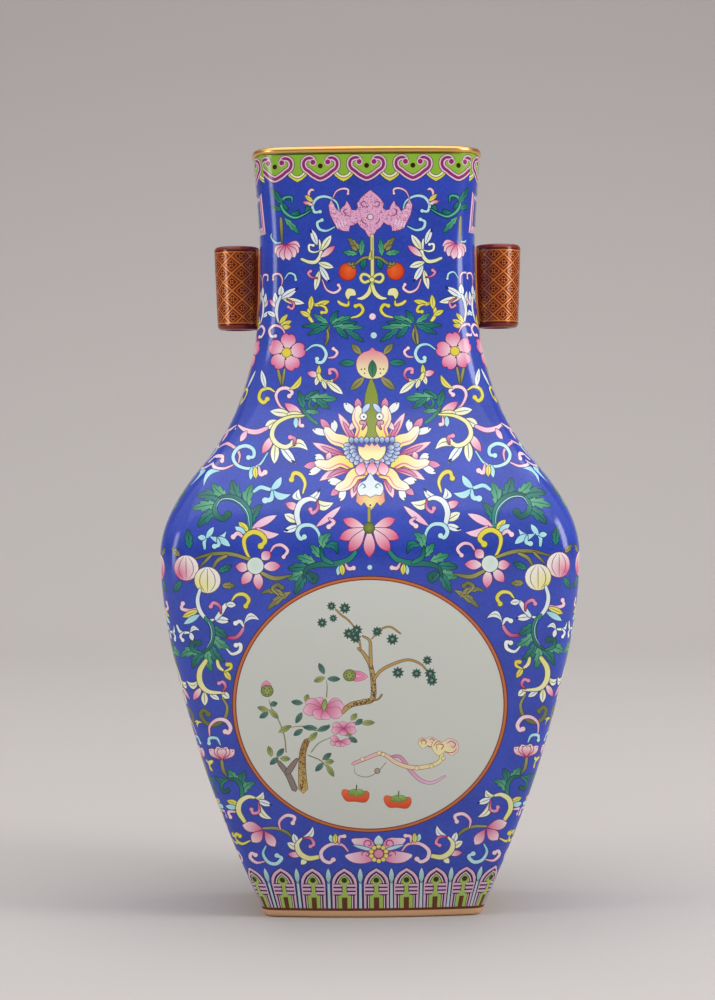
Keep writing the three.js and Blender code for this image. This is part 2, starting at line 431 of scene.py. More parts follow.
# Blue ground enamel, dusted on and fired over the glaze: deep and glassy, with a fine uneven grain.
groundEnamel, tree, shader = newMaterial("blueGroundEnamel", "#4050b8", 0.15, IOR=1.5)
grainSize = 0.9
cloudSize = 14
paint = addNode(tree, "ShaderNodeVertexColor", layer_name="paint")
spot = addNode(tree, "ShaderNodeTexCoord")
grain = addNode(
    tree, "ShaderNodeTexNoise", {"Vector": spot.outputs["Object"], "Scale": 1 / (grainSize * mm),
        "Detail": 2.0}
)
cloud = addNode(tree, "ShaderNodeTexNoise", {"Vector": spot.outputs["Object"],
    "Scale": 1 / (cloudSize * mm), "Detail": 2.0})
together = addNode(
    tree, "ShaderNodeMath", {0: grain.outputs["Fac"], 1: cloud.outputs["Fac"]}, operation="ADD"
)
shade = addNode(tree, "ShaderNodeMapRange", {"Value": together.outputs[0], "From Min": 0.7, "From Max": 1.3,
    "To Min": 0.84, "To Max": 1.16})
tinted = addNode(
    tree, "ShaderNodeVectorMath", {0: paint.outputs["Color"], "Scale": shade.outputs["Result"]},
        operation="SCALE"
)
tree.links.new(tinted.outputs["Vector"], shader.inputs["Base Color"])

# Famille rose enamels: opaque soft colours, thin and smooth under the light.
roseEnamels, tree, shader = newMaterial("familleRoseEnamels", "#e8d8d0", 0.17, IOR=1.5)
paint = addNode(tree, "ShaderNodeVertexColor", layer_name="paint")
tree.links.new(paint.outputs["Color"], shader.inputs["Base Color"])

# Fired gold, burnished and a little worn: a warm broad shine.
gilding, tree, shader = newMaterial("firedGilding", "#ecb76c", 0.3, Metallic=1.0)

# Clear glaze over white porcelain: cool, faintly green white with a wet shine.
clearGlaze, tree, shader = newMaterial("clearGlaze", "#dfe3dc", 0.12, IOR=1.5)


# The enamels: colour where the brush starts, colour where it ends, and the fine outline.
inks = {
    "teal": ("#2c9080", "#0e6058", "#082c44"),
    "jade": ("#6cbf8e", "#1f8068", "#0e4450"),
    "olive": ("#a8a068", "#6f7440", "#33402c"),
    "lemon": ("#eeea92", "#f3f1c4", "#44481c"),
    "yellow": ("#f0ea7c", "#e6da50", "#5c5218"),
    "gold": ("#f0e890", "#d9b84c", "#6b5520"),
    "ice": ("#dfeef6", "#f6f8f6", "#2a3c68"),
    "pale": ("#e8edb0", "#fafaf2", "#3c4458"),
    "sky": ("#9edcec", "#bfeaf2", "#1c4070"),
    "blue": ("#8fb6ea", "#dfeaf8", "#24409a"),
    "rose": ("#e2508e", "#fbe6ee", "#8a2460"),
    "blush": ("#fbeef2", "#e4649a", "#6c1c48"),
    "pink": ("#f0b4d4", "#f6dcea", "#642450"),
    "plum": ("#b8307a", "#e79cc4", "#641848"),
    "navy": ("#27348c", "#16206a", None),
    "orange": ("#f47a34", "#d8381a", "#7a2010"),
}


# One touch of the brush: (kind, enamel, width in mm, places from base to tip).
def touch(kind, ink, width, *places):
    start, end, edge = inks[ink]
    if kind == "dot":
        return disc(places[0], width / 2, start, edge, toColour=end)
    if kind == "leaf":
        base, tip = np.array(places[0], float), np.array(places[-1], float)
        along = tip - base
        bend = 0.0
        if len(places) == 3:
            off = np.array(places[1]) - (base + tip) / 2
            bend = (off[1] * along[0] - off[0] * along[1]) / (along @ along)
        leafy = ink in ("teal", "jade", "olive") and np.hypot(*along) > 4.2
        veined = leafy or (ink in ("pale", "ice", "lemon", "yellow") and np.hypot(*along) > 3.6)
        return leaf(
            base, tip, width * (1.15 if leafy else 1), start, end, edge,
            bend=bend, vein=edge if veined else None, lobes=3 if leafy else 0,
        )
    if kind == "curl":
        return tendril(places, width * 0.86, start, edge, toColour=end)
    if kind == "line":
        return stroke(places, width, start, edge, taper=(0.7, 1, 0.3), toColour=end)
    if kind == "patch":
        outline = smooth(places, closed=True, steps=3)
        return edged(outline, edge, 0.28, start, end, start=outline.min(0), end=outline.max(0))


def painted(rows):
    return [shape for row in rows for shape in touch(*row)]


# A curling leaf with a row of pointed lobes on its outer side.
def acanthus(ink, width, lobes, *places, outer=1, reach=2.6):
    line = smooth(places, steps=8)
    start, end, edge = inks[ink]
    along = np.gradient(line, axis=0)
    along /= np.linalg.norm(along, axis=1)[:, None]
    shapes = []
    for share in np.linspace(0.08, 0.86, lobes):
        at = int(share * (len(line) - 1))
        size = reach * math.sin(math.pi * (0.2 + 0.75 * share)) * (0.8 if lobes > 3 else 1)
        out = np.array([-along[at][1], along[at][0]]) * outer
        tip = line[at] + (out * 0.85 - along[at] * 0.45) * size
        shapes += leaf(line[at] + along[at] * 0.5, tip, size * 0.62, start, end, edge, bend=0.16 * outer,
            belly=0.42)
    shapes += stroke(line[::2], width, end, edge, taper=(0.5, 1.1, 0.45), toColour=start)
    shapes += stroke(line[:-3:2] if len(line) > 12 else line, width * 0.3, "#7fd0b4", taper=(0.3, 1, 0.3))
    return shapes


# An opened lotus seen from the side, its petals fanned about the way it faces.
def halfLotus(x, z, size, facing, petals=7, spread=150, heart="jade", ink="rose"):
    start, end, edge = inks[ink]
    shapes = []
    order = sorted(range(petals), key=lambda i: -abs(i - (petals - 1) / 2))
    for i in order:
        share = i / (petals - 1) - 0.5
        angle = math.radians(facing + share * spread)
        long = size * (1 - 0.25 * abs(share) ** 1.5)
        tip = (x + long * math.cos(angle), z + long * math.sin(angle))
        shapes += leaf((x, z), tip, size * 0.46, start, end, edge, bend=0.1 * np.sign(share), belly=0.66)
    if heart:
        shapes += disc((x, z), size * 0.2, inks[heart][0], inks[heart][2], toColour=inks[heart][1])
    return shapes


# A small open flower of heart-shaped petals round a yellow eye.
def roundFlower(x, z, size, petals=5, turn=90, ink="blush"):
    start, end, edge = inks[ink]
    shapes = []
    for i in range(petals):
        angle = math.radians(turn + i * 360 / petals)
        out, across = np.array([math.cos(angle), math.sin(angle)]), np.array([-math.sin(angle),
            math.cos(angle)])
        rim = [(0.12, 0), (0.35, -0.27), (0.66, -0.4), (0.92, -0.3), (1.0, -0.12), (0.92, 0), (1.0, 0.12),
            (0.92, 0.3), (0.66, 0.4), (0.35, 0.27)]
        outline = [np.array([x, z]) + size * (a * out + b * across) for a, b in rim]
        shapes += edged(smooth(outline, closed=True, steps=2), edge, 0.28, start, end, start=(x, z),
            end=(x + size, z), round=True)
    shapes += disc((x, z), size * 0.24, "#e9d848", "#7a3a30", sides=10)
    for i in range(petals):
        angle = math.radians(turn + (i + 0.5) * 360 / petals)
        shapes += disc((x + size * 0.34 * math.cos(angle), z + size * 0.34 * math.sin(angle)), size * 0.06,
            "#7a2a40", sides=6)
    return shapes


# A round ribbed fruit.
def ribbedFruit(x, z, size, ink, ribs=3):
    start, end, edge = inks[ink]
    shapes = disc((x, z), size, start, edge, sides=20)
    low, high = np.array([x - 0.7 * size, z - 0.6 * size]), np.array([x + 0.5 * size, z + 0.5 * size])
    shapes[-1].update(colours=(start, "#f8f4ee"), start=low, end=high)
    for share in np.linspace(-0.55, 0.55, ribs):
        line = [(x + share * size * k, z + size * h) for k, h in ((0.3, 0.9), (0.95, 0.35), (1.05, -0.3),
            (0.4, -0.9))]
        shapes += stroke(line, 0.28, edge, taper=(0.4, 1, 0.4))
    return shapes


# A round fruit with a lit side.
def shadedFruit(x, z, size, ink, lit=(-0.3, 0.3)):
    start, end, edge = inks[ink]
    shapes = disc((x, z), size, end, edge, sides=20)
    centre = (x + lit[0] * size, z + lit[1] * size)
    shapes[-1].update(colours=(start, end), start=np.array(centre),
        end=np.array([centre[0] + size * 1.15, centre[1]]), round=True)
    return shapes


# The border of hanging ruyi heads under the lip.
def rimBorder(level, pitch, count):
    reach = pitch * (count + 2) / 2
    shapes = [fill([(-reach, level - 2.2), (reach, level - 2.2), (reach, level + 9), (-reach, level + 9)],
        "#8fbe3c")]
    for i in range(-1, count + 1):
        x = (i + 1 - count / 2) * pitch
        outer = [(4.2, -2.3), (3.3, -3.9), (1.7, -5.2), (0, -6.1)]
        crescent = np.array([(-a, b) for a, b in outer] + outer[-2::-1] + [(3.2, -1.6), (-3.2, -1.6)])
        shapes += edged(crescent + [x, level], "#3c4420", 0.25, "#e6dc50")
        bowl = np.array([(-3.1, -1.5), (-2.4, -3.0), (-1.2, -3.9), (0, -4.2), (1.2, -3.9), (2.4, -3.0),
            (3.1, -1.5)])
        shapes.append(fill(np.vstack([bowl, [(3.1, 1), (-3.1, 1)]]) + [x, level], "#8fbe3c"))
        for width, colour in ((1.15, "#3c4420"), (0.7, "#f6f2d8")):
            shapes += stroke(bowl + [x, level], width, colour, taper=(1, 1, 1))
    half = [(-3.0, 1.5), (-2.9, 2.4), (-3.9, 3.1), (-5.3, 2.9), (-6.4, 1.9), (-6.6, 0.3), (-5.9, -1.1),
        (-4.5, -2.1)]
    half += [(-3.2, -3.2), (-1.6, -4.2), (0, -4.8)]
    for i in range(-1, count + 1):
        x = (i + 0.5 - count / 2) * pitch
        head = np.array(half + [(-a, b) for a, b in half[-2::-1]]) + [x, level]
        shapes.append(fill(head, "#94c040"))
        for width, colour in ((2.9, "#3a1a34"), (2.4, "#ecc6dc"), (1.15, "#5c1244"), (0.85, "#9a2c72")):
            shapes += stroke(head, width, colour, taper=(0.85, 1, 0.85))
        for side in (-1, 1):
            shapes += disc((x + side * 2.9, level + 1.5), 1.0, "#9a2c72", "#ecc6dc", edgeWidth=0.35, sides=12)
        shapes += disc((x, level), 1.0, "#3c1c08", sides=12)
    return shapes


# The neck: a bat with a ribboned staff and fruits, hung between scrolls.
def bat():
    half = [(1.3, 284.5), (-1.1, 282.6), (-2.5, 281.2), (-3.8, 279.4), (-3.4, 277.6), (-4.5, 276.7),
        (-6.1, 276.9), (-6.7, 278.5), (-7.9, 280.4), (-8.5, 278.8), (-9.8, 277.7), (-10.7, 276.1),
        (-12.2, 277.5), (-14.0, 280.8), (-15.0, 278.8), (-14.5, 275.5), (-12.8, 271.9), (-11.4, 269.6),
        (-9.3, 268.8), (-7.2, 268.6), (-6.8, 270.7), (-5.0, 271.2), (-3.8, 272.1), (-2.6, 270.3),
        (-0.9, 269.0), (0.6, 266.4)]
    half = np.array(half)
    whole = np.vstack([half, (half * [-1, 1] + [2 * 1.35, 0])[::-1]])
    shapes = edged(whole, "#6c2a58", 0.3, "#eab0d2")
    chance = np.random.default_rng(7)
    low, high = whole.min(0), whole.max(0)
    places = chance.uniform(low, high, (900, 2))
    places = places[topShapes([fill(whole, "#000000")], places) == 0]
    for place in places:
        shapes += disc(place, chance.uniform(0.13, 0.24), "#a8488c", sides=5)
    curls = []
    curls += stroke([(0.7, 278.3), (-1.1, 278.0), (-2.3, 279.2), (-1.4, 280.2), (-0.4, 279.6)], 0.4,
        "#8a2a6a")
    curls += stroke([(-6.3, 274.2), (-8.4, 275.1), (-9.1, 276.6), (-7.9, 277.3)], 0.4, "#8a2a6a")
    curls += stroke([(-0.3, 271.1), (-1.8, 272.3), (-2.2, 273.5)], 0.4, "#8a2a6a")
    claw, ear = np.array([(-12.3, 272.2), (-11.6, 269.8)]), np.array([(-14.1, 278.4), (-12.8, 278.9)])
    for k in range(4):
        curls += stroke(claw + [1.15 * k, 0.3 * k], 0.45, "#f6dcea", taper=(0.6, 1, 0.4))
    for k in range(3):
        curls += stroke(ear + [0.5 * k, -2.05 * k], 0.4, "#f6dcea", taper=(0.6, 1, 0.4))
    shapes += bothSides(curls, 1.35)
    shapes += disc((1.3, 274.1), 1.0, "#f0d8e6", "#6c2a58")
    return shapes


neckScrolls = [
    ("curl", "sky", 1.15, (-10.7, 275.7), (-11.9, 279.9), (-15.5, 282.1), (-19.1, 281.8), (-21.3, 279.0),
        (-20.6, 276.3), (-18.4, 276.4)),
    ("curl", "pink", 0.75, (-13.4, 281.4), (-12.0, 284.1), (-9.5, 285.2), (-7.4, 284.8), (-7.4, 283.2)),
    ("curl", "sky", 1.15, (-12.6, 270.4), (-15.9, 268.9), (-18.8, 269.7), (-19.5, 272.1), (-17.7, 273.1)),
    ("line", "pink", 0.9, (-22.7, 281.8), (-22.7, 283.9), (-21.6, 285.0), (-20.7, 284.6)),
    ("leaf", "yellow", 1.5, (-21.1, 280.2), (-24.2, 282.8)),
    ("leaf", "blush", 1.4, (-21.1, 279.0), (-25.1, 280.3)),
    ("line", "sky", 0.7, (-33.8, 264.6), (-36.5, 264.7), (-38.6, 267.0), (-38.2, 268.4)),
    ("line", "olive", 1.15, (-34.0, 274.2), (-33.8, 270.6), (-33.6, 264.3)),
    # The pale spray beside the hanging flower
    ("line", "pale", 1.3, (-25.9, 258.0), (-22.9, 256.8), (-20.2, 256.9), (-18.3, 259.7), (-18.5, 263.3),
        (-18.8, 265.4)),
    ("curl", "pale", 0.9, (-18.7, 261.2), (-20.8, 260.6), (-22.7, 261.3), (-22.8, 263.4), (-21.2, 263.3)),
    ("leaf", "ice", 2.3, (-19.6, 263.3), (-22.0, 269.7)),
    ("leaf", "pale", 2.6, (-18.1, 261.2), (-14.1, 267.1)),
    ("leaf", "blush", 2.3, (-18.3, 258.5), (-12.7, 262.9)),
    ("leaf", "pale", 2.4, (-19.3, 256.4), (-13.3, 254.5)),
    ("leaf", "ice", 2.3, (-18.7, 255.2), (-15.0, 248.8)),
    ("leaf", "pale", 2.2, (-18.9, 253.4), (-20.6, 245.7)),
    ("curl", "plum", 1.0, (-19.7, 250.4), (-22.1, 250.9), (-23.3, 252.4), (-22.4, 253.2)),
    ("curl", "pink", 1.0, (-17.8, 249.8), (-16.1, 245.9), (-13.1, 244.6), (-10.8, 246.1), (-11.4, 247.6)),
    ("leaf", "navy", 0.9, (-21.9, 267.8), (-22.2, 269.9)),
    ("leaf", "navy", 0.9, (-15.8, 249.8), (-14.6, 248.8)),
    # Ribbon ends
    ("line", "lemon", 1.5, (1.6, 248.1), (0.4, 244.5), (-1.8, 242.5), (-4.0, 242.2)),
    ("patch", "lemon", 1.0, (-4.7, 243.6), (-5.3, 245.7), (-7.7, 246.1), (-8.8, 244.0), (-7.7, 241.9),
        (-6.8, 243.3)),
    ("line", "yellow", 1.1, (-11.6, 241.2), (-10.2, 240.1), (-7.8, 239.6), (-7.5, 241.3)),
    ("curl", "yellow", 1.25, (-6.6, 234.7), (-3.6, 235.5), (-1.9, 237.6), (-3.0, 239.7), (-4.8, 239.3)),
    # White and blue spray on the left
    ("curl", "pink", 0.8, (-34.0, 247.2), (-33.6, 250.2), (-34.9, 252.3), (-37.6, 252.1), (-37.7, 250.3)),
    ("curl", "sky", 0.8, (-32.7, 250.2), (-30.9, 252.5), (-28.7, 251.8), (-28.2, 249.9)),
    ("leaf", "ice", 2.4, (-34.3, 243.0), (-34.0, 247.8)),
    ("leaf", "ice", 2.6, (-34.6, 242.4), (-27.5, 246.6)),
    ("leaf", "pale", 2.4, (-33.4, 242.3), (-24.9, 240.6)),
    ("leaf", "ice", 2.4, (-36.3, 238.2), (-36.9, 245.2)),
    ("leaf", "blush", 1.5, (-36.6, 239.4), (-39.6, 242.5)),
    ("leaf", "ice", 1.8, (-36.2, 235.7), (-40.7, 237.7)),
    ("line", "ice", 1.3, (-34.3, 243.6), (-35.7, 240.6), (-36.1, 237.0), (-35.3, 233.3)),
    ("curl", "plum", 0.9, (-31.8, 242.3), (-29.1, 240.6), (-29.7, 238.5), (-31.2, 239.3)),
    ("leaf", "navy", 1.0, (-28.7, 245.4), (-27.4, 247.0)),
    ("leaf", "yellow", 1.6, (-34.9, 232.7), (-31.6, 236.3)),
    ("leaf", "yellow", 1.8, (-34.6, 231.8), (-30.0, 233.7)),
    ("leaf", "gold", 1.8, (-34.0, 231.1), (-30.3, 231.6)),
    ("curl", "pink", 1.2, (-32.5, 228.7), (-34.0, 231.1), (-36.9, 232.1), (-39.3, 230.4), (-38.5, 227.9),
        (-36.5, 227.9)),
    # Yellow leaves
    ("line", "yellow", 1.3, (-21.6, 233.0), (-23.1, 235.4), (-23.1, 237.8), (-21.6, 239.9), (-19.1, 240.5)),
    ("leaf", "yellow", 2.0, (-22.5, 237.8), (-22.0, 243.5)),
    ("leaf", "yellow", 2.0, (-21.0, 239.6), (-14.9, 241.3)),
    ("leaf", "yellow", 1.8, (-22.5, 235.4), (-26.5, 237.4)),
    ("curl", "yellow", 1.1, (-19.2, 239.9), (-16.8, 239.0), (-16.2, 237.1), (-18.0, 236.9)),
    # Green spray
    ("leaf", "teal", 1.9, (-15.0, 232.0), (-25.8, 231.5)),
    ("leaf", "teal", 1.9, (-15.6, 231.7), (-23.7, 228.2)),
    ("leaf", "jade", 1.8, (-15.6, 232.6), (-21.3, 236.3)),
    ("leaf", "teal", 1.9, (-15.0, 232.9), (-11.7, 237.4)),
    ("leaf", "jade", 2.2, (-14.4, 232.6), (-6.6, 235.2)),
    ("leaf", "teal", 2.0, (-14.1, 232.0), (-4.2, 232.8)),
    ("leaf", "jade", 2.0, (-13.8, 231.4), (-1.8, 230.7)),
    ("leaf", "teal", 1.9, (-12.6, 231.1), (-7.9, 226.5)),
    ("leaf", "teal", 1.9, (-9.0, 230.4), (-1.6, 225.2)),
    ("line", "olive", 0.9, (-16.2, 224.5), (-15.9, 228.1), (-15.0, 231.7)),
    # Leaves of the fruits
    ("leaf", "jade", 1.9, (-2.5, 258.9), (-1.9, 265.7)),
    ("leaf", "olive", 2.0, (-3.1, 261.6), (-7.5, 266.0)),
    ("leaf", "jade", 1.9, (-4.0, 259.7), (-9.7, 260.5)),
    ("leaf", "olive", 1.4, (-4.0, 261.0), (-6.4, 263.1)),
    ("leaf", "teal", 2.0, (-1.3, 258.3), (-2.0, 253.5)),
    ("line", "olive", 0.8, (1.7, 258.3), (-1.6, 258.1), (-4.6, 255.9), (-6.7, 255.0)),
]


def neckPainting():
    shapes = []
    left = painted(neckScrolls)
    left += acanthus("teal", 1.2, 4, (-21.8, 277.1), (-24.9, 275.3), (-28.5, 274.2), (-32.0, 276.1),
        (-33.8, 279.1), (-32.6, 281.9), (-29.7, 282.2), (-29.3, 280.0), outer=-1, reach=5.5)
    left += painted([("leaf", "teal", 2.3, (-33.0, 279.3), (-38.1, 285.9)),
        ("leaf", "jade", 2.0, (-32.5, 274.2), (-26.7, 267.9)),
        ("leaf", "teal", 1.8, (-33.7, 277.2), (-38.3, 279.2))])
    left += halfLotus(-32.0, 263.7, 6.2, -78, petals=7, spread=140, heart=None)
    left += shadedFruit(-7.8, 252.8, 3.35, "orange", lit=(0.15, 0.1))
    left += painted([("leaf", "olive", 0.9, (-6.4, 255.0), (-7.6, 256.6)),
        ("leaf", "olive", 0.9, (-6.1, 255.0), (-4.6, 254.4)),
        ("leaf", "olive", 0.9, (-6.3, 255.2), (-5.2, 256.5))])
    shapes += bothSides(left, 1.6)
    shapes += bat()
    shapes += stroke([(1.9, 266.9), (1.9, 258.0), (1.9, 248.4)], 1.15, "#e8e48e", "#5f6436", taper=(1, 1, 1))
    shapes += stroke([(1.9, 266.3), (1.9, 258.0)], 0.25, "#6c7040", taper=(1, 1, 1))
    shapes += stroke([(2.0, 258.3), (0.8, 257.7), (1.4, 260.4)], 0.7, "#d9d070", "#5f6436")
    for side in (-1, 1):
        loop = [np.array((1.7, 249.6)) + [side * a, b] for a, b in ((0, 0), (1.6, 1.7), (3.6, 2.1),
            (4.4, 0.6), (3.2, -1.0), (1.4, -0.6))]
        shapes += stroke(loop + [loop[0]], 1.0, "#ece98c", "#5f6436", taper=(0.8, 1, 0.8))
    shapes += disc((1.7, 249.6), 0.9, "#f0ec9c", "#5f6436")
    shapes += disc((1.8, 235.1), 1.25, "#f0c4de", "#7c3a6c", toColour="#f8e4f0")
    shapes += disc((2.2, 227.7), 1.2, "#bfe0f2", "#2c5c8c")
    return shapes


